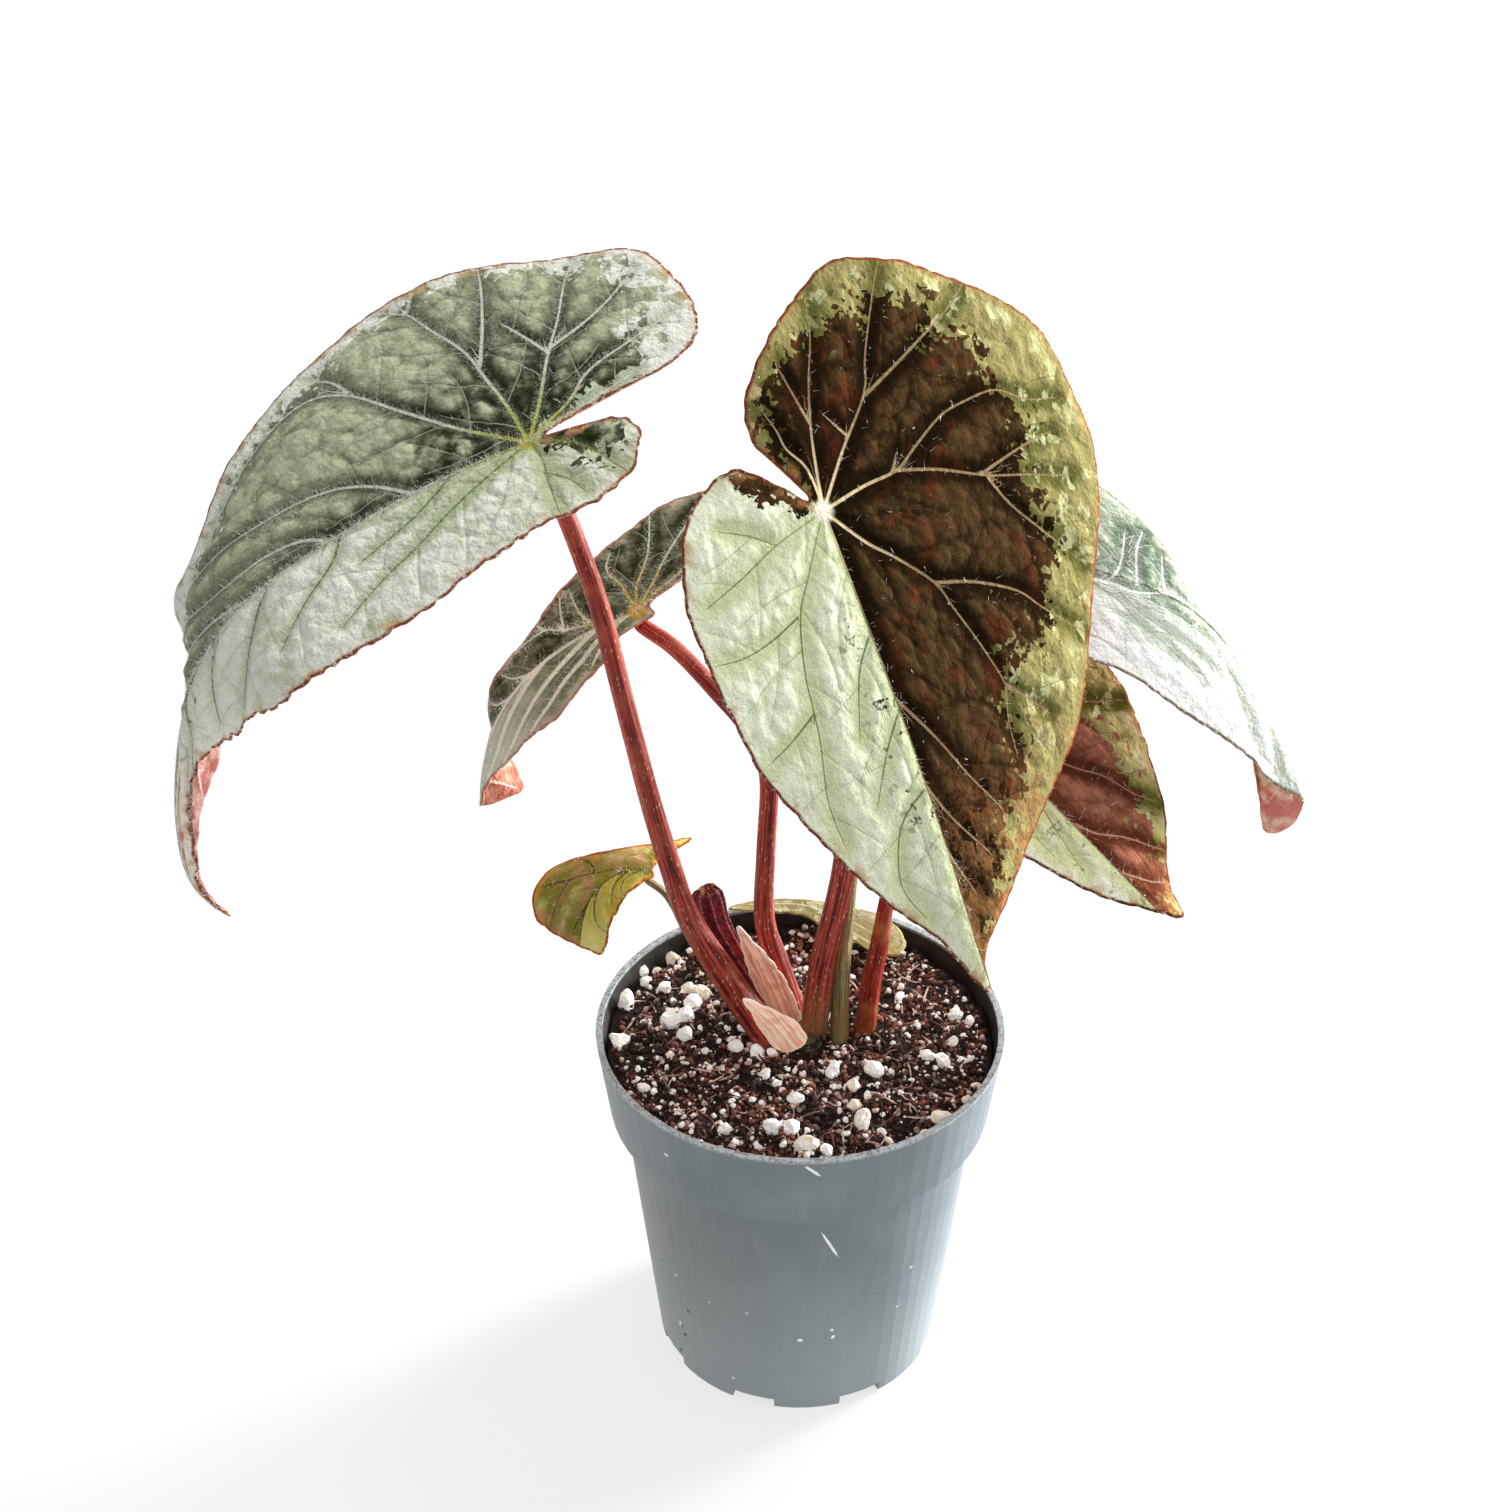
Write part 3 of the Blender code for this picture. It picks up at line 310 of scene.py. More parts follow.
                (91, 5), (88.5, 2), (85, 0), (78, -4.7), (73, -7.6), (68, -9.5), (57, -14),
                (46, -16.8), (29, -17), (14, -17), (0, -17), (-9, -14), (-14, -9), (-12, -3.7),
                (-4, -1.1)],
        "veins": [[(0, 0), (-4, 10), (-7, 20), (-8, 29)], [(0, 0), (6, 8), (9, 16), (11, 24)],
                  [(0, 0), (-11, 9), (-19, 17), (-25, 25)],
                  [(16, 0), (24, 0.8), (29, 1), (34, 4.5), (38, 6), (43, 6.5), (48, 6.5)],
                  [(23, 1), (24, 6), (23, 14)], [(28.5, 1), (27.5, 5.5), (26, 11), (26, 16)],
                  [(34, 4.5), (32.5, 8), (31, 12)]],
        "near": [[(0, 0), (4, -7), (8, -15)], [(0, 0), (-6, -6), (-11, -11)],
                 [(6, 0), (14, -7), (20, -15)],
                 [(18, 0), (26, -2.5), (31, -5.5), (40, -7.5), (48, -9)],
                 [(26, -1), (32, -3.5), (41, -4.5), (50, -5)], [(52, -1.5), (62, -5), (70, -8)],
                 [(66, 0), (74, -3), (80, -3)]],
        "zone": [(0, 0), (21.5, 0.5), (25.5, 0.5), (29, -0.5), (33, -2), (42.5, -2.5), (48, -2),
                 (54, -0.5), (60, 2), (72, 6), (86, 12), (60, 20), (0, 40), (-40, 30), (-20, 0)]},
    "leaf_right": {
        "at": (24.5, 12.0, 147.2), "curl": (-0.15, -0.15), "thick": 0.8, "wave": (0.4, 9),
        "big": 1, "slit": (-7, 0),
        "bend": [(-60, -35, 24, 24, -3, -3), (0, -35, 28, 24, -3, -3), (30, -35, 31, 20, -5, -5),
                 (50, -34, 33, 14, -10, -10), (66, -33, 35, 8, -14, -14)],
        "rim": [(-3, 1.5), (-7, 4), (-10.5, 8.5), (-11.5, 14.5), (-9.5, 20.5), (-5, 26),
                (2, 29.4), (9, 30.4), (16, 30.3), (22, 29.7), (29, 27), (36, 24.3), (44, 19.4),
                (52, 11.8), (57, 7.4), (62, 3.6), (54, -2.6), (45, -7.4), (36, -10.6),
                (28, -12.2), (20, -13), (8, -14), (-2, -13), (-9, -10), (-11, -5.5),
                (-4, -1.4)],
        "veins": [[(0, 0), (-4, 8), (-7, 16), (-7, 22)], [(0, 0), (5, 10), (8, 19), (10, 28)],
                  [(0, 0), (12, 9), (20, 20), (25, 27)],
                  [(10, 0), (20, 5), (24.5, 7), (29, 9.5), (33, 12.5), (39, 15), (43, 18)],
                  [(36, 0.5), (40, 2.5), (44, 7), (50, 11.5)], [(48, 0), (53, 4), (55, 7)]],
        "near": [[(0, 0), (5, -7), (7, -13)], [(12, 0), (20, -4), (29, -6.5), (38, -7)],
                 [(24, 0), (32, -2.5), (44, -5)], [(0, 0), (-5, -5), (-8, -9)]],
        "zone": [(-2, 1), (-7, 8), (-8, 15), (-4, 21), (4, 24.5), (12, 22), (17, 18), (21, 17),
                 (25, 19.5), (31.5, 19), (33.5, 16), (38, 16), (44.5, 13), (49, 12.5), (54.5, 8),
                 (58, 3), (60, 0), (60, -15), (2, -15)]},
    "leaf_small": {
        "at": (-29.5, 10.0, 106.7), "curl": (-0.4, -0.4), "thick": 0.7, "wave": (0.3, 6),
        "big": -1, "slit": (-3, -6), "swell": 0.6, "pitch": 3.0,
        "bend": [(-20, 186, -18, -10, -6, -6), (0, 186, -14, -10, -6, -6), (6, 190, 0, -10, -8, -8),
                 (12, 215, 40, -4, -10, -10), (18, 255, 72, 0, -12, -12), (30, 268, 84, 0, -14, -14)],
        "rim": [(-1.5, -1.5), (-9, -10.5), (-8, -11.5), (-2, -8.5), (3, -7), (7, -8.5),
                (10, -12), (13, -14), (16, -14), (19, -12.5), (21, -10), (22, -6), (22.5, -3),
                (23.5, 1), (25, 4), (21, 5.5), (17, 5.5), (11, 6), (5, 5), (1, 3), (-1, 1.5)],
        "veins": [[(0, 0), (4.5, -1), (9, -3.5), (12.5, -7.5), (16.5, -7.5), (20, -7)],
                  [(12.5, -7.5), (15.5, -12.5)], [(0, 0), (-2, -4), (-5, -8)],
                  [(9, -3.5), (9, -8), (10, -11)]],
        "near": [[(0, 0), (5, 1.5), (7.5, 4.5)], [(10, 0), (17, 2.5), (19, 5)],
                 [(14, 0), (20, -1.5), (22, -1.5)], [(4, 0), (8, 2), (12, 5)]]},
    "leaf_low": {
        "at": (7.5, 28.0, 77.9), "curl": (-0.3, -0.3), "thick": 0.7, "wave": (0.2, 5),
        "hub": (3, -7.3), "swell": 0.25, "pitch": 4.0,
        "big": -1, "slit": (-2, 3),
        "bend": [(-30, 200, 2, 0, -4, 6), (0, 185, 2, 0, -4, 6), (12, 175, 0, 0, -4, 2),
                 (24, 165, 0, 0, -4, 0)],
        "rim": [(-2, 2), (-7, 7), (-11, 8), (-13, 4), (-11, -2), (-6, -6), (0, -9), (6, -10.5),
                (14, -11), (21, -9), (24, -6), (20, -6.5), (13, -7), (7, -6), (4, -3), (3, 0),
                (1, 2)],
        "veins": [[(0, -2), (3, -7), (10, -9.5), (20, -8.5)], [(3, -7), (-3, -3), (-9, 3)]],
        "near": [[(3, -7), (3, -3), (2.5, 0)], [(3, -7), (-2, -1), (-7, 5)]]},
}

# Stalks run from the crown or the soil up to their leaf, as points with a radius at each.
STALKS = {
    "stalk_left": [(-4.9, -0.6, HOLE_FLOOR, 3.1), (-5.2, -0.6, 71.5, 3.2), (-7.4, -0.3, 76, 3.2),
                   (-13.2, 1, 85, 3.0), (-21.3, 2, 100.5, 2.5), (-24.7, 3, 111.6, 2.2),
                   (-28.6, 4, 127.1, 2.1), (-32.8, 5, 147.7, 2.0), (-36.9, 6, 167.6, 1.9),
                   (-42.2, 7, 185.6, 1.9), (-46.4, 8, 196, 1.8)],
    "stalk_front": [(2.6, 0.0, CROWN_TOP + 0.4, 2.7), (4, 1, 89.5, 2.7), (7, 2, 105.7, 2.5),
                    (8.4, 3, 116.8, 2.4), (8.9, 4, 132.2, 2.3), (8.5, 3, 150.6, 2.2),
                    (7.5, 0, 169.6, 2.1), (5.8, -5, 186.0, 2.0)],
    "stalk_back_left": [(-0.5, 7.6, HOLE_FLOOR, 2.3), (-0.9, 7.6, 73, 2.4), (-4.4, 8.4, 85.1, 2.3),
                        (-7.2, 9.2, 95.4, 2.1), (-6.9, 11, 110.8, 1.9), (-6.6, 13, 126.9, 1.8),
                        (-10, 16, 135.2, 1.8), (-16.7, 19, 142.2, 1.7), (-24.3, 23, 148.9, 1.6)],
    "stalk_back_right": [(7.7, -0.5, HOLE_FLOOR, 1.9), (7.8, 2, 83, 1.8), (8.5, 7, 95.9, 1.7),
                         (9.7, 11, 108.6, 1.7), (12.9, 17, 124, 1.6), (17.8, 24, 139.5, 1.6),
                         (24.5, 29.5, 153.5, 1.5)],
    "stalk_right": [(12.2, 3.4, HOLE_FLOOR, 2.1), (13.6, 4, 82.3, 2.1), (15, 5, 91.4, 1.9),
                    (16.3, 6, 101.6, 1.6), (18.1, 8, 110.9, 1.4), (20.1, 10, 123.6, 1.4),
                    (22.4, 12, 136, 1.3)],
    "stalk_small": [(-8.2, 10.2, HOLE_FLOOR, 1.1), (-9.5, 11, 75, 1.0), (-14.5, 12, 83, 0.9),
                    (-21.8, 11, 91.2, 0.9), (-26, 10.4, 100, 0.8)],
    "stalk_low": [(6.9, 24, HOLE_FLOOR, 0.9), (7.0, 25.5, 73, 0.9)],
}
LEAF_OF = {"stalk_left": "leaf_left", "stalk_front": "leaf_front",
           "stalk_back_left": "leaf_back_left", "stalk_back_right": "leaf_back_right",
           "stalk_right": "leaf_right", "stalk_small": "leaf_small", "stalk_low": "leaf_low"}

# Papery sheaths at the foot of the stalks, described as the leaves are.
SHEATHS = {
    "sheath_upright": {
        "at": (-3.9, 2.9, 79.0), "curl": (-2.2, -2.2), "thick": 0.6, "wave": (0.0, 1),
        "swell": 0.15,
        "bend": [(-10, 178, -72, -90, -12, -12), (0, 178, -70, -90, -12, -12),
                 (20, 182, -64, -90, -14, -14)],
        "rim": [(-5, -2.4), (0, -3.0), (6, -3.2), (12, -2.2), (17, -1.0), (21, 0), (17, 1.2),
                (12, 2.4), (6, 3.2), (0, 2.8), (-5, 2.2)]},
    "sheath_low": {
        "at": (-2.7, -5.0, 77.3), "curl": (-2.4, -2.4), "thick": 0.6, "wave": (0.0, 1),
        "swell": 0.15,
        "bend": [(-8, 178, -66, -90, -10, -10), (0, 182, -58, -90, -10, -10),
                 (14, 190, -44, -90, -8, -8)],
        "rim": [(-3.0, -2.6), (0, -3.6), (4, -3.0), (9, -1.6), (13.5, 0), (9, 1.6), (4, 3.0),
                (0, 3.4), (-3.0, 2.4)]},
}

# The pleated young leaf beside the left stalk: points up its middle, half width, half depth.
YOUNG_LEAF = [(-6.2, 5.9, 73.8, 0.9, 0.9), (-8.7, 6.8, 79.2, 1.6, 1.2), (-10.9, 7.3, 83.2, 2.4, 1.5),
              (-14.2, 7.6, 89.1, 3.1, 1.6), (-16.9, 7.7, 95.1, 3.4, 1.6), (-17.9, 7.6, 100, 3.5, 1.6),
              (-18.2, 7.4, 103, 3.2, 1.4), (-18.4, 7.2, 105, 2.0, 0.9)]

# The larger perlite seen in the photo: where each grain lies, its radius, and 1 where it is cream
PERLITE_SEEN = [
    (-34.7, 10.1, 2.3, 0), (-35.3, -0.9, 2.1, 0), (-25.8, 26.1, 1.8, 1), (-26.0, 30.5, 1.2, 1),
    (-32.3, 21.4, 1.8, 0), (-31.1, 17.8, 1.4, 0), (-29.1, 22.1, 1.1, 1), (-27.4, 15.7, 1.6, 0),
    (-22.3, 15.4, 1.6, 1), (-19.1, 14.2, 1.6, 1), (-21.0, 10.0, 1.8, 0), (-25.4, 11.5, 1.0, 0),
    (-25.7, 5.2, 2.0, 0), (-22.6, 6.5, 1.8, 0), (-22.6, 0.9, 1.6, 0), (-25.3, -5.0, 1.1, 1),
    (-12.9, -2.9, 1.8, 0), (-11.8, 2.3, 0.9, 0), (-8.3, -4.7, 1.5, 0), (-5.4, -4.9, 1.1, 0),
    (-6.7, -11.3, 1.3, 0), (-4.3, -13.3, 1.1, 0), (-0.8, -18.5, 1.6, 0), (-14.0, -26.3, 1.8, 0),
    (-5.3, -26.4, 1.8, 0), (-1.3, -26.9, 2.0, 0), (1.7, -31.7, 2.2, 1), (5.3, -32.5, 1.3, 0),
    (12.1, -24.7, 2.1, 1), (6.5, -10.1, 1.8, 0), (14.2, -9.4, 2.0, 0), (10.3, -13.9, 1.6, 1),
    (10.7, -19.8, 1.4, 1), (13.2, -17.4, 1.1, 0), (15.7, -27.2, 1.1, 0), (8.7, -27.9, 0.9, 0),
    (24.8, -6.2, 1.8, 0), (27.9, -6.1, 1.8, 0), (30.8, 9.4, 1.6, 0), (33.6, 6.3, 1.3, 0),
    (30.0, -0.6, 1.1, 1), (20.2, 17.2, 1.0, 0), (19.9, 13.3, 1.1, 0), (17.6, 15.5, 0.8, 0),
    (19.5, 32.7, 1.0, 0), (26.8, -23.0, 2.0, 1), (31.9, -17.9, 1.1, 1), (23.8, -28.2, 1.3, 1),
    (-29.9, -15.6, 1.2, 0), (-17.4, -9.1, 0.8, 0), (-18.5, -4.8, 0.8, 0), (34.0, -12.9, 0.9, 1),
    (36.1, -1.4, 0.7, 0), (-22.2, -25.6, 0.7, 0), (-8.1, -30.2, 0.8, 0), (-12.0, -31.1, 0.8, 0)]

# Marks on the pot's outside: degrees round it (-90 is the front), height, half length, half
# width, tilt in degrees, and tone
POT_MARKS = [
    (-79.4, 49.6, 4.2, 0.3, -66, "#f2f4f4"), (-86.2, 74.0, 2.0, 0.35, -50, "#eef2f2"),
    (-88.8, 21.7, 0.65, 0.45, 0, "#f4f6f6"), (-77.1, 24.1, 0.45, 0.4, 0, "#e8ecec"),
    (-76.6, 21.9, 0.6, 0.4, 60, "#f4f6f6"), (-115.9, 6.3, 0.4, 0.35, 0, "#dfe3e2"),
    (-108.2, 28.0, 0.5, 0.3, 20, "#b9bfbe"), (-130.1, 68.9, 0.5, 0.4, 0, "#e4e6e4"),
    (-46.0, 34.5, 0.45, 0.35, 0, "#dadedb"), (-123.7, 27.2, 0.3, 0.3, 0, "#c3c7c4"),
    (-139.9, 28.8, 0.45, 0.35, 0, "#d0d2cd"), (-50.4, 24.6, 0.35, 0.3, 0, "#cfd3d0"),
    (-142.0, 13.6, 1.1, 0.6, 70, "#cfcfca"), (-135.4, 20.1, 0.5, 0.4, 0, "#14110f"),
    (-141.0, 13.3, 0.5, 0.45, 0, "#14110f"), (-139.6, 11.4, 0.6, 0.45, 50, "#14110f"),
    (-165.5, 23.6, 0.7, 0.5, 80, "#14110f"), (-149.2, 28.9, 0.4, 0.35, 0, "#1c1815"),
    (-145.0, 4.4, 1.2, 0.3, 60, "#4a443e")]
MARK_RADIUS = 33.0

# Each blade's colours. "zone" is the dark middle of the big half, "band" the band round it and
# "near" the other half: a tone for the creases and a tone for the tops of the swollen fields, so
# that the fields carry painted shade in their creases and a painted highlight on top, and a tone
# of scattered patches. "vein" goes from the stalk out, "near_vein" is the same on the other half,
# and "twig" is a side vein in the dark middle and beside it. "under" and "under_vein" are the
# lower face, "rim" the margin's line, "tinge" the warm tone in it and "hub" the tone at the stalk.
# "width" is half a vein's width on the big half and on the other. "jag" is how far the dark
# middle's edge jumps from cell to cell and "inset" how far it draws back, in millimetres. "gloom"
# is how much painted shade darkens it near the stalk and the main vein, "vein_shade" how much
# painted shade lies beside each vein, and "halo" how much pale down lies there. "spread" is how
# far from a vein the painted highlight of the top tone begins, and "lift" how much more of it
# there is away from the stalk. "specks" is the share of black flecks, "down" whether it has a
# silvery gloss, "bump" the height of the fine grain and "crease" the depth of the painted shade
# in the creases. "tip" and "tail" are reaches along the midrib over which a tone comes in, "tip"
# in patches on the big half and "tail" evenly on the other.
PLAIN_LOOK = {"jag": 1.0, "inset": 0.0, "gloom": 0.0, "vein_shade": 0.3, "halo": 0.0, "spread": 4.0,
              "lift": 0.0, "specks": 0.0, "down": False, "bump": 0.4, "crease": 0.0,
              "tip": None, "tail": None}
LOOKS = {
    "leaf_left": {
        "zone": ("#262e17", "#c2c8a6", "#cdcfae"), "band": ("#b6c2a2", "#f4f6ea", "#a3af86"),
        "near": ("#c2cca6", "#f6f9ea", "#ccd6b2"), "vein": ("#bcc04e", "#e3e6d2"),
        "near_vein": ("#848f3e", "#76835a"), "twig": ("#c4c8b2", "#93a07c"),
        "under": ("#c47f78", "#e2c0b4"), "under_vein": "#f1e2d6", "rim": "#8f5136",
        "tinge": "#d9a574", "hub": "#b9b85e", "tail": (58, 92, "#fffdea"),
        "width": (0.4, 0.32), "jag": 3.0, "inset": 1.2, "gloom": 0.9, "vein_shade": 0.6,
        "halo": 0.35, "spread": 3.5, "lift": 0.55, "down": True, "bump": 0.75, "crease": 0.5},
    "leaf_front": {
        "zone": ("#1d150b", "#4c3a23", "#572a1a"), "band": ("#605e30", "#9a925e", "#c4c896"),
        "near": ("#d3dbae", "#f2f6dc", "#dee6c2"), "vein": ("#eed9ae", "#97805e"),
        "near_vein": ("#a9ad6c", "#5f7436"), "twig": ("#2c170a", "#5d5c30"),
        "under": ("#a86a58", "#b9806c"), "under_vein": "#d9b59c", "rim": "#7c3f2a",
        "tinge": "#b98a55", "hub": "#fbeed6", "tip": (40, 74, "#8e6440"),
        "width": (0.34, 0.22), "jag": 5.4, "gloom": 0.2, "vein_shade": 0.35, "lift": 0.1,
        "specks": 1.0, "crease": 0.55},
    "leaf_back_left": {
        "zone": ("#2a3219", "#8a937a", "#949c84"), "band": ("#454d2e", "#8e9a80", "#6c7858"),
        "near": ("#66755a", "#c2d6b8", "#9eb08e"), "vein": ("#b5ac50", "#d2ecd6"),
        "near_vein": ("#c8dcc0", "#f2fff0"), "twig": ("#aabca4", "#c6dcc4"),
        "under": ("#b9604f", "#d69c86"), "under_vein": "#efdccb", "rim": "#a88478",
        "tinge": "#c9c4a8", "hub": "#b9a050", "tail": (18, 44, "#e6f2e0"),
        "width": (0.34, 0.62), "gloom": 0.3, "vein_shade": 0.6, "halo": 0.4, "lift": 0.2,
        "down": True, "bump": 0.7, "crease": 0.4},
    "leaf_back_right": {
        "zone": ("#6e8068", "#b4bfaa", "#d0d8c6"), "band": ("#c6d0be", "#fdfdfb", "#eef1ea"),
        "near": ("#c6cfbf", "#fdfdfc", "#eef1ea"), "vein": ("#d5dac4", "#fbfcf8"),
        "near_vein": ("#c4cabd", "#a6b19f"), "twig": ("#e6eade", "#b6c0b0"),
        "under": ("#cc7a6c", "#e6c6ac"), "under_vein": "#f6e4d6", "rim": "#8c8672",
        "tinge": "#e6e4d6", "hub": "#c9ceb8", "width": (0.34, 0.24), "vein_shade": 0.4,
        "halo": 0.3, "lift": 0.2, "down": True, "bump": 0.6, "crease": 0.2},
    "leaf_right": {
        "zone": ("#5a2f20", "#ab7058", "#8c5140"), "band": ("#666c2c", "#bcb478", "#e0dcac"),
        "near": ("#dbe2ac", "#fffff0", "#f2f6d8"), "vein": ("#a06f52", "#b58a70"),
        "near_vein": ("#a3ab72", "#98a268"), "twig": ("#6a4030", "#757a40"),
        "under": ("#a0604e", "#b97f6a"), "under_vein": "#d9b59c", "rim": "#6e3226",
        "tinge": "#c2955c", "hub": "#a06f52", "tip": (44, 62, "#a0583c"),
        "width": (0.3, 0.22), "jag": 4.6, "gloom": 0.3, "lift": 0.1, "specks": 0.6,
        "crease": 0.3},
    "leaf_small": {
        "zone": ("#848538", "#c6c47a", "#bf9274"), "band": ("#848538", "#c6c47a", "#bf9274"),
        "near": ("#bcba54", "#f6ea86", "#ecc86e"), "vein": ("#5a5422", "#3f3a1c"),
        "near_vein": ("#5a5422", "#3f3a1c"), "twig": ("#6b6a28", "#6b6a28"),
        "under": ("#9a9a60", "#b0a878"), "under_vein": "#c9c090", "rim": "#b5582a",
        "tinge": "#e6a840", "hub": "#8a8a40", "tail": (12, 24, "#f2ea92"),
        "width": (0.26, 0.26), "vein_shade": 0.6, "spread": 3.0, "bump": 0.5, "crease": 0.2},
    "leaf_low": {
        "zone": ("#a39d6c", "#d0cba6", "#8f863e"), "band": ("#a39d6c", "#d0cba6", "#8f863e"),
        "near": ("#a09a68", "#c8c298", "#8f863e"), "vein": ("#e0dcc0", "#ece8d2"),
        "near_vein": ("#e0dcc0", "#e6e2c8"), "twig": ("#d8d4b4", "#c9c498"),
        "under": ("#c8c49c", "#d6d0b0"), "under_vein": "#e6e2c8", "rim": "#a0935a",
        "tinge": "#efeacb", "hub": "#c9c498", "width": (0.26, 0.26), "spread": 3.0},
}
# what each blade's material reads from its mesh
LEAF_FACTS = ("half", "edge", "pillow", "stalk", "jag", "zone", "lobe", "under", "vein_near",
              "vein_far", "vein_along", "twig_near", "twig_far", "twig_along")


# Curves and leaf surfaces, worked out as in the solids but finer

def smooth_curve(points, steps, closed):
    """A Catmull-Rom curve through the points, with a number of steps per stretch."""
    points = np.array(points, float)
    count = len(points)
    made = []
    for i in range(count if closed else count - 1):
        if closed:
            a, b, c, d = (points[(i + k) % count] for k in (-1, 0, 1, 2))
        else:
            a, b, c, d = (points[min(max(i + k, 0), count - 1)] for k in (-1, 0, 1, 2))
        for t in np.arange(steps) / steps:
            made.append(0.5 * (2 * b + (c - a) * t + (2 * a - 5 * b + 4 * c - d) * t ** 2
                               + (3 * b - a - 3 * c + d) * t ** 3))
    if not closed:
        made.append(points[-1])
    return np.array(made)


def unit(vectors):
    return vectors / np.linalg.norm(vectors, axis=1)[:, None]


def run_of(line):
    """How far along a line each of its points lies."""
    return np.append(0, np.cumsum(np.linalg.norm(np.diff(line, axis=0), axis=1)))


def valley(distance, width):
    """0 on a line and 1 well away from it."""
    return 1 - np.exp(-(distance / width) ** 1.5)


def bend_column(leaf, column):
    """One column of the bend table, every millimetre along the midrib, with soft corners."""
    places = np.arange(SPINE_START, SPINE_END + 1.0)
    stations = np.array(leaf["bend"], float)
    values = np.interp(places, stations[:, 0], stations[:, column])
    window = 2 * SPINE_SOFTNESS + 1
    padded = np.pad(values, SPINE_SOFTNESS, mode="edge")
    return np.convolve(padded, np.ones(window) / window, mode="valid")


def spine(leaf):
    """Points, side and up directions and folds along the midrib of a leaf."""
    heading, dip, roll = (np.radians(bend_column(leaf, column)) for column in (1, 2, 3))
    ahead = np.stack([np.cos(dip) * np.cos(heading), np.cos(dip) * np.sin(heading),
                      -np.sin(dip)], axis=1)
    points = np.cumsum(ahead, axis=0)
    points += np.array(leaf["at"]) - points[-SPINE_START]
    level = np.stack([-np.sin(heading), np.cos(heading), 0 * heading], axis=1)
    above = np.cross(ahead, level)
    turn_cos, turn_sin = np.cos(roll)[:, None], np.sin(roll)[:, None]
    side = level * turn_cos + above * turn_sin
    up = above * turn_cos - level * turn_sin
    return points, side, up, bend_column(leaf, 4), bend_column(leaf, 5)


def on_leaf(leaf, flat):
    """Where flat points of a leaf lie in space."""
    along, across = flat[:, 0], flat[:, 1]
    points, side, up, fold_left, fold_right = spine(leaf)
    places = np.arange(SPINE_START, SPINE_END + 1.0)

    def at(values):
        if values.ndim == 1:
            return np.interp(along, places, values)
        return np.stack([np.interp(along, places, values[:, k]) for k in range(3)], axis=1)

    left = across > 0
    start = np.radians(np.where(left, at(fold_left), at(fold_right)))
    rate = np.radians(np.where(left, *leaf["curl"])) - 1e-6
    end = start + rate * np.abs(across)
    out = (np.sin(end) - np.sin(start)) / rate
    rise = (np.cos(start) - np.cos(end)) / rate
    return at(points) + (np.sign(across) * out)[:, None] * at(side) + rise[:, None] * at(up)


def facing(leaf, flat):
    """Where flat points lie in space, and the way the upper face looks there."""
    placed = on_leaf(leaf, flat)
    beside = on_leaf(leaf, flat + (PEEP, 0)) - placed
    beyond = on_leaf(leaf, flat + (0, PEEP)) - placed
    return placed, unit(np.cross(beside, beyond))


def fine_rim(leaf, hub, count):
    """The smooth outline at even steps, and how far round each of its points lies."""
    rim = smooth_curve(leaf["rim"], RIM_STEPS, closed=True)
    share = np.arange(len(rim)) / len(rim)
    turn = np.unwrap(np.arctan2(rim[:, 1] - hub[1], rim[:, 0] - hub[0]))
    turn = np.abs(turn - turn[0])
    kept = [i for i in range(len(rim)) if i == 0 or turn[i] > turn[:i].max() + 0.0004]
    rim, share = rim[kept], share[kept]
    rim, share = np.vstack([rim, rim[:1]]), np.append(share, 1.0)
    run = run_of(rim)
    even = np.arange(count) * run[-1] / count
    made = np.stack([np.interp(even, run, rim[:, k]) for k in (0, 1)], axis=1)
    share = np.interp(even, run, share)
    if made[:, 0] @ np.roll(made[:, 1], -1) < made[:, 1] @ np.roll(made[:, 0], -1):
        return made[::-1], share[::-1]
    return made, share


def nearest(points, lines):
    """Distance to the nearest line, on which side of it, and how far along it from 0 to 1."""
    best = np.full(len(points), 1e3)
    side = np.ones(len(points))
    share = np.zeros(len(points))
    for line in lines:
        line = np.array(line, float)
        steps = np.linalg.norm(np.diff(line, axis=0), axis=1)
        run = run_of(line)
        for k, (a, b) in enumerate(zip(line, line[1:])):
            ahead = b - a
            t = np.clip((points - a) @ ahead / (steps[k] ** 2 + 1e-9), 0, 1)
            off = points - a - t[:, None] * ahead
            distance = np.hypot(off[:, 0], off[:, 1])
            closer = distance < best
            best[closer] = distance[closer]
            turned = ahead[0] * off[:, 1] - ahead[1] * off[:, 0]
            side[closer] = np.where(turned[closer] < 0, -1, 1)
            share[closer] = (run[k] + t[closer] * steps[k]) / run[-1]
    return best, side, share


def inside(points, outline):
    """Signed distance to a closed outline, above 0 inside it."""
    outline = np.array(outline, float)
    distance, _, _ = nearest(points, [np.vstack([outline, outline[:1]])])
    x, y = points[:, 0], points[:, 1]
    odd = np.zeros(len(points), bool)
    for (ax, ay), (bx, by) in zip(outline, np.roll(outline, -1, axis=0)):
        crosses = (ay > y) != (by > y)
        rise = by - ay if by != ay else 1e-9
        odd ^= crosses & (x < ax + (y - ay) * (bx - ax) / rise)
    return np.where(odd, distance, -distance)


def midrib(leaf):
    rim = np.array(leaf["rim"], float)
    return [(x, 0.0) for x in np.arange(0, rim[:, 0].max() - 0.5, 4.0)]


def clear_of(place, points, room):
    return np.hypot(points[:, 0] - place[0], points[:, 1] - place[1]).min() > room


def grow_twig(here, heading, hand, veins, rim, rng):
    """One side vein, step by step, until it nears a main vein or the margin."""
    points = [here]
    while len(points) * TWIG_STEP < TWIG_REACH:
        step = TWIG_STEP * np.array([math.cos(heading), math.sin(heading)])
        heading += hand * math.radians(rng.uniform(*TWIG_BEND))
        following = points[-1] + step
        if not clear_of(following, rim, TWIG_TO_RIM):
            break
        if len(points) > 2 and not clear_of(following, veins, TWIG_TO_VEIN):
            break
        points.append(following)
    return points


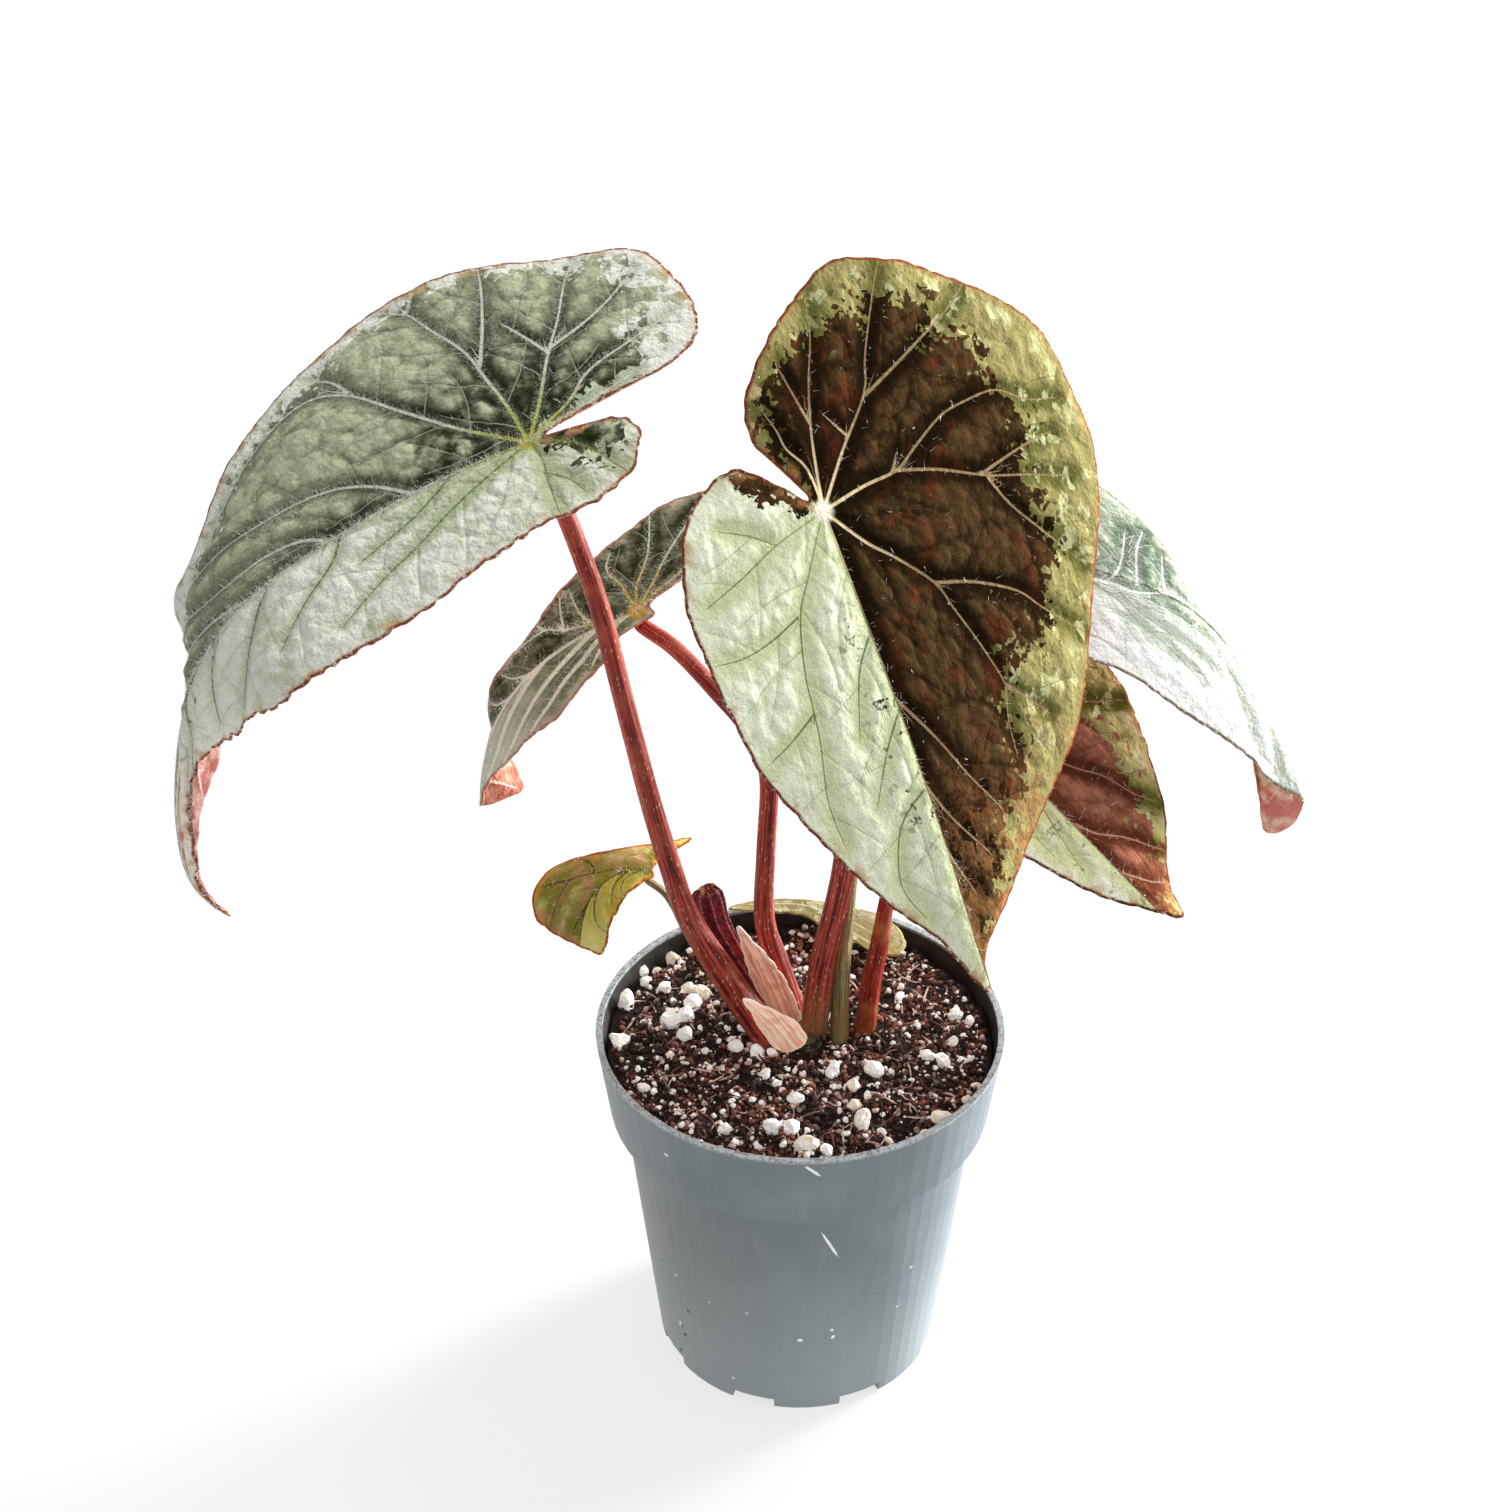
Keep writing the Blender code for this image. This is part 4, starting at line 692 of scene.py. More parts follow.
def twigs(mains, rim, rng):
    """Side veins grown from the main ones, to either hand in turn."""
    made = []
    veins = np.vstack([smooth_curve(line, LINE_STEPS, closed=False) for line in mains])
    for line in mains:
        line = smooth_curve(line, LINE_STEPS, closed=False)
        run = run_of(line)
        hand = 1
        for start in np.arange(TWIG_PITCH * 0.8, run[-1] - 1.0, TWIG_PITCH):
            start += rng.uniform(-1.0, 1.0)
            here = np.array([np.interp(start, run, line[:, k]) for k in (0, 1)])
            ahead = np.array([np.interp(start + 1, run, line[:, k]) for k in (0, 1)]) - here
            turn = hand * math.radians(rng.uniform(*TWIG_ANGLE))
            hand = -hand
            heading = math.atan2(ahead[1], ahead[0]) + turn
            points = grow_twig(here, heading, hand, veins, rim, rng)
            if len(points) > 2:
                made.append(np.array(points))
    return made


def quilt(flat, pitch, rng):
    """Rounded fields with creases between them: 0 in a crease, 1 on top of a field."""
    low, high = flat.min(0) - pitch, flat.max(0) + pitch
    across, along = (np.arange(low[k], high[k], pitch) for k in (0, 1))
    seeds = np.array([(x, y) for x in across for y in along])
    seeds += rng.uniform(-FIELD_DRIFT, FIELD_DRIFT, seeds.shape) * pitch
    first = np.full(len(flat), 1e3)
    second = first.copy()
    for x, y in seeds:
        gap = np.hypot(flat[:, 0] - x, flat[:, 1] - y)
        second = np.minimum(second, np.maximum(first, gap))
        first = np.minimum(first, gap)
    return 1 - np.exp(-((second - first) / (FIELD_CREASE * pitch)) ** 1.6)


def scallops(leaf, rim, rng):
    """How far the margin's rounded teeth stand out from the smooth outline, and which way."""
    ahead = np.roll(rim, -1, axis=0) - np.roll(rim, 1, axis=0)
    out = unit(np.column_stack([ahead[:, 1], -ahead[:, 0]]))
    run = np.cumsum(np.linalg.norm(ahead, axis=1)) / 2
    drift = 0.9 * np.sin(run / 7.3) + 0.7 * np.sin(run / 3.1 + 1)
    rounded = np.abs(np.sin(math.pi * run / TOOTH_PITCH + drift)) - 0.55
    broad = 0.6 * np.sin(run / 4.1 + 1.7 * np.sin(run / 9.7))
    height = np.where(rim[:, 1] * leaf["big"] > 0, *leaf["teeth"])
    chance = rng.uniform(-TOOTH_CHANCE, TOOTH_CHANCE, len(rim))
    return out * (height * (rounded + broad + chance))[:, None]


def vein_facts(flat, name, lines):
    """How far each point lies from the nearest line, with its side, and how far along."""
    distance, side, along = nearest(flat, lines)
    return {name + "_far": distance, name + "_near": distance * side, name + "_along": along}


def leaf_grid(leaf, around, rings, rng):
    """Flat points of a fan of fine rings, with the painted facts of each."""
    hub = np.array(leaf["hub"], float)
    rim, share = fine_rim(leaf, hub, around)
    shares = np.linspace(0, 1, rings + 1)[1:]
    bumps = scallops(leaf, rim, rng)
    flat = [hub[None, :]]
    flat += [hub + (rim - hub) * part + bumps * part ** 10 for part in shares]
    outer = flat[-1]
    flat = np.concatenate(flat)
    turn = np.append(0, np.tile(share, rings))
    depth = np.append(0, np.repeat(shares, around))
    height, waves = leaf["wave"]
    facts = {"wave": height * depth ** 3 * np.sin(TURN * waves * turn)}
    facts["edge"] = np.abs(inside(flat, outer[::2]))
    mains = [midrib(leaf)] + leaf["veins"] + leaf["near"]
    mains = [smooth_curve(line, LINE_STEPS, closed=False) if len(line) > 2
             else np.array(line, float) for line in mains]
    facts.update(vein_facts(flat, "vein", mains))
    facts.update(vein_facts(flat, "twig", twigs(mains, rim, rng)))
    facts.update(leaf_regions(leaf, flat))
    fields, tops = (quilt(flat, part * leaf["pitch"], rng) for part in (1.0, 0.5))
    main = valley(facts["vein_far"], VEIN_VALLEY)
    small = valley(facts["twig_far"], TWIG_VALLEY)
    facts["pillow"] = main * (0.3 + 0.2 * small + 0.32 * fields + 0.18 * tops)
    return flat, facts


def leaf_regions(leaf, flat):
    """Which half each point is on, how deep in the dark parts, and how far from the stalk."""
    divide = [np.array(leaf["slit"], float) * 4, (0, 0), (SPINE_END, 0)]
    distance, side, _ = nearest(flat, [divide])
    far = np.full(len(flat), 60.0)
    return {"half": distance * side * leaf["big"],
            "zone": inside(flat, leaf["zone"]) if "zone" in leaf else far,
            "lobe": inside(flat, leaf["lobe"]) if "lobe" in leaf else -far,
            "stalk": np.hypot(flat[:, 0], flat[:, 1]),
            "jag": np.interp(flat[:, 0], *leaf["ragged"])}


def relief(leaf, facts):
    """How far the blade swells between its veins."""
    calm = np.clip(facts["edge"] / MARGIN_CALM, 0.15, 1)
    return leaf["swell"] * calm * (facts["pillow"] - 0.55)


def ring_faces(first, count, sides):
    """Quads between rings of points, the first ring starting at a given point."""
    around = np.arange(sides)
    after = (around + 1) % sides
    low = first + np.arange(count)[:, None] * sides
    return low + around, low + after, low + sides + after, low + sides + around


def fan_faces(count, rings, shift, flip):
    """Corner lists of a fan: triangles round the hub, then rings of quads."""
    around = np.arange(count)
    first = np.stack([0 * around, 1 + around, 1 + (around + 1) % count], axis=1)
    a, b, c, d = ring_faces(1, rings - 1, count)
    quads = np.stack([a, d, c, b], axis=-1).reshape(-1, 4)
    if flip:
        first, quads = first[:, ::-1], quads[:, ::-1]
    return (first + shift).tolist() + (quads + shift).tolist()


def new_mesh(name, points, faces, facts, material, smooth=True):
    """A named mesh piece in metres, with its painted facts as attributes."""
    mesh = bpy.data.meshes.new(name)
    mesh.from_pydata((np.asarray(points) * MM).tolist(), [], faces)
    for key, values in facts.items():
        values = np.asarray(values, np.float32)
        kind = "FLOAT" if values.ndim == 1 else "FLOAT_VECTOR"
        attribute = mesh.attributes.new(key, kind, "POINT")
        attribute.data.foreach_set("value" if values.ndim == 1 else "vector", values.ravel())
    if smooth:
        mesh.shade_smooth()
    mesh.materials.append(material)
    made = bpy.data.objects.new(name, mesh)
    bpy.context.scene.collection.objects.link(made)
    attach(made, "root")
    return made


def fine_blade(name, leaf, around, rings, material):
    """A blade with swollen fields, sunken veins above and raised veins below."""
    leaf = {**PLAIN_LEAF, **leaf}
    rng = np.random.default_rng(SEED + len(name))
    flat, facts = leaf_grid(leaf, around, rings, rng)
    placed, normal = facing(leaf, flat)
    lift = facts.pop("wave") + relief(leaf, facts)
    full = np.clip(facts["edge"] / THIN_REACH, 0, 1)
    thin = 0.5 * leaf["thick"] * (THIN_SHARE + (1 - THIN_SHARE) * full)
    taper = 1 - 0.8 * facts["vein_along"]
    rib = RIB_HEIGHT * np.exp(-(facts["vein_far"] / RIB_WIDTH) ** 2) * taper
    upper = placed + normal * (lift + thin)[:, None]
    lower = placed + normal * (lift - thin - rib)[:, None]
    faces = fan_faces(around, rings, 0, False) + fan_faces(around, rings, len(flat), True)
    edge = 1 + (rings - 1) * around + np.arange(around)
    after = np.roll(edge, -1)
    faces += np.stack([edge, edge + len(flat), after + len(flat), after], axis=1).tolist()
    facts = {key: np.tile(values, 2) for key, values in facts.items()}
    facts["under"] = np.repeat([0.0, 1.0], len(flat))
    facts["flat"] = np.tile(np.column_stack([flat, np.zeros(len(flat))]), (2, 1))
    made = new_mesh(name, np.vstack([upper, lower]), faces, facts, material)
    return made, upper, normal, facts


# Stems and young leaf

def tube_faces(rings, sides):
    """Quads along a number of rings, and a face at either end."""
    around = np.arange(sides)
    faces = np.stack(ring_faces(0, rings - 1, sides), axis=-1).reshape(-1, 4).tolist()
    return faces + [around[::-1].tolist(), (around + (rings - 1) * sides).tolist()]


def tube(centres, radii, sides, square_to=None, shape=None, depths=None):
    """Points and faces of a closed tube. shape(angle, share) scales its radius."""
    centres = np.asarray(centres, float)
    depths = radii if depths is None else depths
    count = len(centres)
    ahead = unit(np.gradient(centres, axis=0))
    if square_to is not None:
        ahead[-1] = square_to
    deep = unit(np.array((0.0, 1.0, 0.0)) - ahead * ahead[:, 1:2])
    wide = np.cross(deep, ahead)
    angle = TURN * np.arange(sides) / sides
    share = np.linspace(0, 1, count)
    scale = 1.0 if shape is None else shape(angle[None], share[:, None])
    to_side = np.cos(angle)[None] * np.asarray(radii)[:, None] * scale
    to_back = np.sin(angle)[None] * np.asarray(depths)[:, None] * scale
    out = wide[:, None] * to_side[..., None] + deep[:, None] * to_back[..., None]
    points = (centres[:, None] + out).reshape(-1, 3)
    turn, share = np.tile(angle, count), np.repeat(share, sides)
    facts = {"turn": np.column_stack([np.cos(turn), np.sin(turn), share]), "share": share}
    return points, tube_faces(count, sides), facts


def stalk(name, material):
    """A stalk with shallow lengthwise furrows, up to the underside of its leaf."""
    leaf = LEAVES[LEAF_OF[name]]
    up = spine(leaf)[2][-SPINE_START]
    top = np.array(leaf["at"]) - up * (leaf["thick"] / 2 + GAP + STALK_TOP_ROOM)
    points = STALKS[name]
    radius = points[-1][3]
    bend = top - up * STALK_BEND * radius
    at_bend, at_top = (radius * share for share in STALK_TAPER)
    route = points + [(*bend, at_bend), (*top, at_top)]
    route = smooth_curve(route, STALK_STEPS, closed=False)
    furrows = 3 + len(name) % 3

    def shape(angle, share):
        lump = 0.02 * np.sin(9 * share * math.pi + angle) + 0.015 * np.sin(31 * share + 2 * angle)
        return 0.975 + 0.025 * np.cos(furrows * angle + 2 * share) + lump

    points, faces, facts = tube(route[:, :3], route[:, 3], STALK_SIDES, up, shape)
    made = new_mesh(name + "_fine", points, faces, facts, material)
    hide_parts(name)


def crown(material):
    heights = np.linspace(HOLE_FLOOR, CROWN_TOP, CROWN_RINGS)
    widths = np.interp(heights, CROWN_HEIGHTS, CROWN_WIDTHS)

    def shape(angle, share):
        ringed = 0.05 * np.cos(40 * share) + 0.06 * np.sin(3 * angle + 9 * share)
        return 0.93 + ringed * np.clip((1 - share) * 8, 0, 1)

    centres = np.column_stack([np.tile(CROWN_AT, (CROWN_RINGS, 1)), heights])
    points, faces, facts = tube(centres, CROWN_RADIUS * widths, CROWN_SIDES, None, shape)
    made = new_mesh("crown_fine", points, faces, facts, material)
    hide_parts("crown")


def young_leaf(material):
    """The folded young leaf, with sharp pleats and an uneven top."""
    route = smooth_curve(YOUNG_LEAF, YOUNG_STEPS, closed=False)

    def pleat(angle, share):
        return np.abs(np.cos(0.5 * PLEATS * angle + PLEAT_TWIST * share))

    def shape(angle, share):
        return 1 - PLEAT_DEPTH * pleat(angle, share) ** 0.7 * np.clip(share * 6, 0.2, 1)

    centres, radii, depths = route[:, :3], route[:, 3], route[:, 4]
    points, faces, facts = tube(centres, radii, YOUNG_SIDES, None, shape, depths)
    angle = np.tile(TURN * np.arange(YOUNG_SIDES) / YOUNG_SIDES, len(route))
    share = facts["share"]
    facts["pleat"] = pleat(angle, share)
    points[:, 2] -= YOUNG_SLANT * share ** 6 * (0.5 + 0.5 * np.cos(angle + 2.5))
    made = new_mesh("young_leaf_fine", points, faces, facts, material)
    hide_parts("young_leaf")


# Soil and what lies on it

def soil_height(x, y):
    """The lumpy top of the soil, as in the solids."""
    distance = np.hypot(x, y)
    dome = SOIL_DOME * (1 - (distance / RIM_RADIUS) ** 2)
    lumps = np.sin(0.42 * x + 0.9) * np.cos(0.37 * y - 0.4) + 0.6 * np.sin(0.71 * x - 0.55 * y)
    return SOIL_LEVEL + dome + SOIL_LUMP * lumps * np.minimum(1.0, distance / CALM_REACH)


def soil_grit(x, y):
    """Fine unevenness between the crumbs."""
    rows = 0.16 * np.sin(2.3 * x + 1.7 * y) * np.cos(1.9 * y - 0.8 * x)
    return rows + 0.12 * np.sin(4.1 * x - 3.3 * y + 1)


def soil_bed(material):
    """The plug of soil: its walls as in the solids and a fine top."""
    inset = WALL + SOIL_ROOM
    foot = POT_HEIGHT - BAND_HEIGHT
    base, body, band, rim = (radius - inset for radius in (BASE_RADIUS, BODY_TOP_RADIUS,
                                                           BAND_FOOT_RADIUS, RIM_RADIUS))
    top = np.interp(SOIL_LEVEL, (foot + WALL, POT_HEIGHT), (band, rim)) + BED_TOUCH
    walls = [(BED_MIDDLE, inset), (base - BED_BEVEL_IN, inset), (base, inset + BED_BEVEL_UP),
             (body, foot - BED_BEND_BELOW), (band, foot + BED_BEND_ABOVE)]
    angle = TURN * np.arange(BED_SIDES) / BED_SIDES
    points = [np.column_stack([r * np.cos(angle), r * np.sin(angle), np.full(BED_SIDES, z)])
              for r, z in walls]
    for share in np.linspace(1, 0, BED_RINGS + 1)[:-1]:
        x, y = top * share * np.cos(angle), top * share * np.sin(angle)
        points.append(np.column_stack([x, y, soil_height(x, y) + soil_grit(x, y)]))
    faces = tube_faces(len(points), BED_SIDES)
    made = new_mesh("soil_bed", np.vstack(points), faces, {}, material)
    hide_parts("soil")


def ball(level):
    """Points and faces of a small faceted ball."""
    bm = bmesh.new()
    bmesh.ops.create_icosphere(bm, subdivisions=level, radius=1.0)
    points = np.array([vert.co for vert in bm.verts])
    faces = np.array([[vert.index for vert in face.verts] for face in bm.faces])
    bm.free()
    return points, faces


def stem_feet():
    """Where the stems stand in the soil, with their radii."""
    feet = [(*CROWN_AT, CROWN_RADIUS)]
    for foot, above, *_ in STALKS.values():
        if foot[2] == HOLE_FLOOR:
            feet.append((above[0], above[1], above[3]))
    return feet


def scatter(count, room, rng, stems):
    """Even random places on the soil, clear of the stems."""
    places = []
    while len(places) < count:
        distance = (RIM_RADIUS - LITTER_EDGE - room) * math.sqrt(rng.random())
        angle = rng.uniform(0, TURN)
        x, y = distance * math.cos(angle), distance * math.sin(angle)
        if all(math.hypot(x - sx, y - sy) > sr + room for sx, sy, sr in stems):
            places.append((x, y))
    return np.array(places)


def mostly_small(sizes, count, power, rng):
    """Random radii between two sizes, most of them near the smaller."""
    return sizes[0] + (sizes[1] - sizes[0]) * rng.random(count) ** power


def grains(name, places, radii, material, rng, level, flatten, rough, sink, smooth=False,
           tones=None):
    """Many uneven grains in one piece, each with a tone of its own."""
    points, faces = ball(level)
    all_points, all_faces = [], []
    tones = rng.random(len(places)) if tones is None else tones
    for k, ((x, y), radius) in enumerate(zip(places, radii)):
        turn = Matrix.Rotation(rng.uniform(0, ANY_TURN), 3, Vector(rng.normal(size=3)))
        size = radius * np.array([1, rng.uniform(*GRAIN_WIDTH),
                                  rng.uniform(flatten, GRAIN_DEPTH_MOST)])
        swells = np.sin(points @ rng.normal(0, 2.4, (3, 3)) + rng.uniform(0, ANY_TURN, 3)).sum(1)
        dents = rng.uniform(-GRAIN_DENT, GRAIN_DENT, len(points))
        lumps = 1 + rough * (GRAIN_SWELL * swells + dents)[:, None]
        grain = (points * lumps * size) @ np.array(turn).T
        height = soil_height(x, y) + radius * (1 - sink) * 0.6
        all_points.append(grain + (x, y, height))
        all_faces.append(faces + k * len(points))
    new_mesh(name, np.vstack(all_points), np.vstack(all_faces).tolist(),
             {"tone": np.repeat(tones, len(points))}, material, smooth)


def fibres(material, rng, stems):
    """Bent slivers of bark and root on the soil."""
    all_points, all_faces, tones = [], [], []
    share = np.linspace(-0.5, 0.5, len(FIBRE_TAPER))
    for x, y in scatter(FIBRES, FIBRE_ROOM, rng, stems):
        run = rng.uniform(*FIBRE_LENGTH) * share
        heading = rng.uniform(0, TURN)
        aside = rng.uniform(-FIBRE_BOW, FIBRE_BOW) * (0.25 - share ** 2) * 4
        px = x + run * math.cos(heading) + aside * math.sin(heading)
        py = y + run * math.sin(heading) - aside * math.cos(heading)
        pz = soil_height(px, py) + rng.uniform(*FIBRE_LIFT)
        pz += rng.uniform(-FIBRE_TILT, FIBRE_TILT) * share
        width = np.array(FIBRE_TAPER) * rng.uniform(*FIBRE_WIDTH)
        points, faces, _ = tube(np.column_stack([px, py, pz]), width, FIBRE_SIDES)
        start = len(all_points) * len(points)
        all_faces += [[corner + start for corner in face] for face in faces]
        all_points.append(points)
        tones.append(np.full(len(points), rng.random()))
    new_mesh("soil_fibres", np.vstack(all_points), all_faces, {"tone": np.concatenate(tones)},
             material)


def soil():
    """The bed, and on it crumbs, perlite (the larger grains as seen) and fibres."""
    rng = np.random.default_rng(SEED)
    stems = stem_feet()
    soil_bed(soil_material())
    crumb = crumb_material()
    places = scatter(CRUMBS, CRUMB_ROOM, rng, stems)
    radii = mostly_small(CRUMB_SIZE, CRUMBS, 2.2, rng)
    grains("soil_crumbs", places, radii, crumb, rng, level=1, flatten=0.5, rough=0.25, sink=0.4,
           smooth=True)
    places = scatter(PERLITE, PERLITE_ROOM, rng, stems)
    radii = mostly_small(PERLITE_SIZE, PERLITE, 2, rng)
    seen = np.array(PERLITE_SEEN)
    places = np.vstack([places, seen[:, :2]])
    radii = np.append(radii, seen[:, 2])
    tones = np.append(rng.random(PERLITE), 0.1 + 0.8 * seen[:, 3])
    grains("soil_perlite", places, radii, perlite_material(), rng, level=2, flatten=0.6,
           rough=0.2, sink=0.2, tones=tones)
    fibres(crumb, rng, stems)


def hairs(name, upper, normal, facts, count, material):
    """Fine white hairs that stand on the upper face, most of them along the veins."""
    rng = np.random.default_rng(SEED + count)
    total = len(upper)
    close = HAIR_ANYWHERE
    for key, (strength, width) in HAIR_PLACES.items():
        close = close + strength * np.exp(-(facts[key][:total] / width) ** 2)
    weight = np.maximum(facts["stalk"][:total], 1.0) * close
    chosen = rng.choice(total, count, p=weight / weight.sum())
    upper, normal = upper[chosen], normal[chosen]
    foot = upper + rng.normal(0, HAIR_STRAY, (count, 3))
    foot -= normal * ((foot - upper) * normal).sum(1)[:, None]
    lean = unit(rng.normal(0, HAIR_LEAN, (count, 3)) + HAIR_RISE * normal)
    across = HAIR_WIDTH / 2 * unit(np.cross(lean, rng.normal(size=(count, 3))))
    tall = (HAIR_LENGTH * rng.uniform(*HAIR_LENGTHS, count))[:, None]
    points = np.stack([foot - across, foot + across, foot + lean * tall], axis=1)
    faces = np.arange(3 * count).reshape(-1, 3).tolist()
    new_mesh(name, points.reshape(-1, 3), faces, {}, material, smooth=False)


# Materials

def tone(code):
    """A hex colour, as seen on screen, in the linear values that a shader wants."""
    parts = [int(code[k:k + 2], 16) / 255 for k in (1, 3, 5)]
    return tuple(p / 12.92 if p <= 0.04045 else ((p + 0.055) / 1.055) ** 2.4 for p in parts)


class Value:
    """What a node gives out. Sums and products with it are nodes too."""

    def __init__(self, shade, socket):
        self.shade = shade
        self.socket = socket

    def __add__(self, other):
        return self.shade.calc("ADD", self, other)

    def __sub__(self, other):
        return self.shade.calc("SUBTRACT", self, other)

    def __rsub__(self, other):
        return self.shade.calc("SUBTRACT", other, self)

    def __mul__(self, other):
        return self.shade.calc("MULTIPLY", self, other)

    def __rmul__(self, other):
        return self.shade.calc("MULTIPLY", self, other)

    def __truediv__(self, other):
        return self.shade.calc("DIVIDE", self, other)

    def __abs__(self):
        return self.shade.calc("ABSOLUTE", self)

    def __or__(self, other):
        """The greater of two masks."""
        return self.shade.calc("MAXIMUM", self, other)

    def step(self, low, high):
        """0 below low, 1 above high, smooth between; low may be the greater."""
        inputs = {"Value": self, "From Min": low, "From Max": high}
        return self.shade.node("MapRange", inputs, 0, interpolation_type="SMOOTHSTEP")


class Shade:
    """Short calls that build the nodes of one material."""

    def __init__(self, name, constants):
        self.made = bpy.data.materials.new(name)
        self.made.use_nodes = True
        self.tree = self.made.node_tree
        self.shader = self.tree.nodes["Principled BSDF"]
        self.feed(self.shader, constants)

    def feed(self, node, inputs):
        """Links or sets a node's inputs. A string is a colour."""
        for key, value in inputs.items():
            socket = node.inputs[key]
            if isinstance(value, Value):
                self.tree.links.new(value.socket, socket)
            elif isinstance(value, str):
                socket.default_value = (*tone(value), 1)
            else:
                socket.default_value = value

    def node(self, kind, inputs, output, **settings):
        made = self.tree.nodes.new("ShaderNode" + kind)
        for key, value in settings.items():
            setattr(made, key, value)
        self.feed(made, inputs)
        return Value(self, made.outputs[output])

    def fact(self, name, output="Fac"):
        return self.node("Attribute", {}, output, attribute_name=name)

    def place(self):
        """The place in the object's own frame, in millimetres."""
        at = self.node("TexCoord", {}, "Object")
        return self.node("VectorMath", {0: at, 3: 1 / MM}, 0, operation="SCALE")

    def parts(self, at, keys="XYZ"):
        return [self.node("SeparateXYZ", {0: at}, key) for key in keys]

    def stretched(self, at, scale):
        return self.node("VectorMath", {0: at, 1: scale}, 0, operation="MULTIPLY")

    def calc(self, operation, a, b=0.0):
        return self.node("Math", {0: a, 1: b}, 0, operation=operation)

    def noise(self, at, scale, detail=2.0, roughness=0.55):
        return self.node("TexNoise", {"Vector": at, "Scale": scale, "Detail": detail,
                                      "Roughness": roughness}, 0)

    def cells(self, at, scale, feature="F1"):
        """How far a place is from the middle of its cell."""
        return self.node("TexVoronoi", {"Vector": at, "Scale": scale}, "Distance", feature=feature)

    def tiles(self, at, scale):
        """A value of its own for each cell."""
        return self.node("TexVoronoi", {"Vector": at, "Scale": scale}, "Color")

    def mix(self, share, a, b, way="MIX"):
        return self.node("Mix", {0: share, 6: a, 7: b}, 2, data_type="RGBA", blend_type=way)

    def finish(self, colour, height=None, depth=0.3, roughness=None):
        """Colour, bump (depth in millimetres) and roughness go to the shader."""
        self.feed(self.shader, {"Base Color": colour})
        if height is not None:
            bumped = self.node("Bump", {"Height": height, "Distance": depth * MM}, 0)
            self.feed(self.shader, {"Normal": bumped})
        if roughness is not None:
            self.feed(self.shader, {"Roughness": roughness})
        return self.made


def line_mask(near, far, along, width, taper):
    """1 on a vein, 0 beside it. The signed distance keeps thin lines crisp."""
    share = abs(near) / (width * (1 - along * taper))
    return share.step(1.25, 0.6) * far.step(1.6, 1.2)


def leaf_ground(shade, look):
    """A blade's painted facts, and the noises and veins from which its masks are made."""
    at = shade.fact("flat", "Vector")
    noises = {name: shade.noise(at, scale, 3, 0.6) for name, scale in LEAF_NOISES.items()}
    tiles = {name: shade.tiles(at, scale) for name, scale in LEAF_TILES.items()}
    facts = {name: shade.fact(name) for name in LEAF_FACTS}
    leaf = SimpleNamespace(at=at, **noises, **tiles, **facts)
    leaf.ahead = shade.parts(at, "X")[0]
    leaf.big = leaf.half.step(-0.12, 0.12)
    leaf.small = 1 - leaf.big
    wide, narrow = look["width"]
    width = leaf.big * (wide - narrow) + narrow
    leaf.vein = line_mask(leaf.vein_near, leaf.vein_far, leaf.vein_along, width, 0.6)
    leaf.twig = line_mask(leaf.twig_near, leaf.twig_far, leaf.twig_along, TWIG_WIDTH, 0.5)
    return leaf


def dark_part(leaf, look):
    """1 in the dark middle and in the dark lobe of the other half, with jagged edges."""
    jump = leaf.tile - 0.5 + 0.7 * (leaf.chip - 0.5) + 0.7 * (leaf.fine - 0.5)
    jump = jump * leaf.jag
    depth = leaf.zone - look["inset"]
    zone = (depth + jump * look["jag"]).step(-0.12, 0.12)
    lobe = (leaf.lobe + jump * LOBE_JAG).step(-0.12, 0.12)
    beside = abs(depth).step(7.0, 2.0)
    dark_bits = beside * leaf.chip.step(0.7, 0.74) * leaf.patchy.step(0.5, 0.54)
    pale_bits = beside * leaf.chip.step(0.26, 0.22) * leaf.patchy.step(0.48, 0.44)
    zone = zone * (1 - pale_bits) | dark_bits
    return zone * leaf.big | lobe * leaf.small


def painted_field_light(leaf, look):
    """Painted light: 0 for painted shade in the creases and beside the veins, 1 for a painted highlight
    on top of the swollen fields.
    """
    top = 0.35 * leaf.vein_far.step(0.5, look["spread"]) + 0.8 * leaf.pillow
    top = top + leaf.stalk.step(12.0, 44.0) * look["lift"] + 0.7 * (leaf.fine - 0.5)
    return top.step(0.25, 1.05)


def field_tone(shade, tones, top, patch):
    """From the tone in the creases, as painted shade, to the tone on top of a field, as painted
    highlight, with scattered patches.
    """
    return shade.mix(patch * 0.75, shade.mix(top, tones[0], tones[1]), tones[2])


def middle_tone(shade, leaf, look, top, cloud):
    """The dark middle, with painted shade deepest in its creases, near the stalk and beside the midrib.
    """
    deep = look["zone"][0]
    colour = field_tone(shade, look["zone"], top, cloud)
    # painted shade in the creases
    crease = (leaf.pillow + 0.5 * (leaf.fine - 0.5)).step(0.68, 0.34)
    colour = shade.mix(crease * look["crease"], colour, deep)
    # painted shade near the stalk and beside the midrib
    beside_rib = leaf.half.step(9.0, 1.0) * leaf.stalk.step(64.0, 36.0)
    shaded = leaf.stalk.step(34.0, 12.0) | beside_rib
    gloom = shaded * (leaf.patchy + 0.25 * leaf.pillow).step(0.85, 0.5) * look["gloom"]
    return shade.mix(gloom, colour, deep)


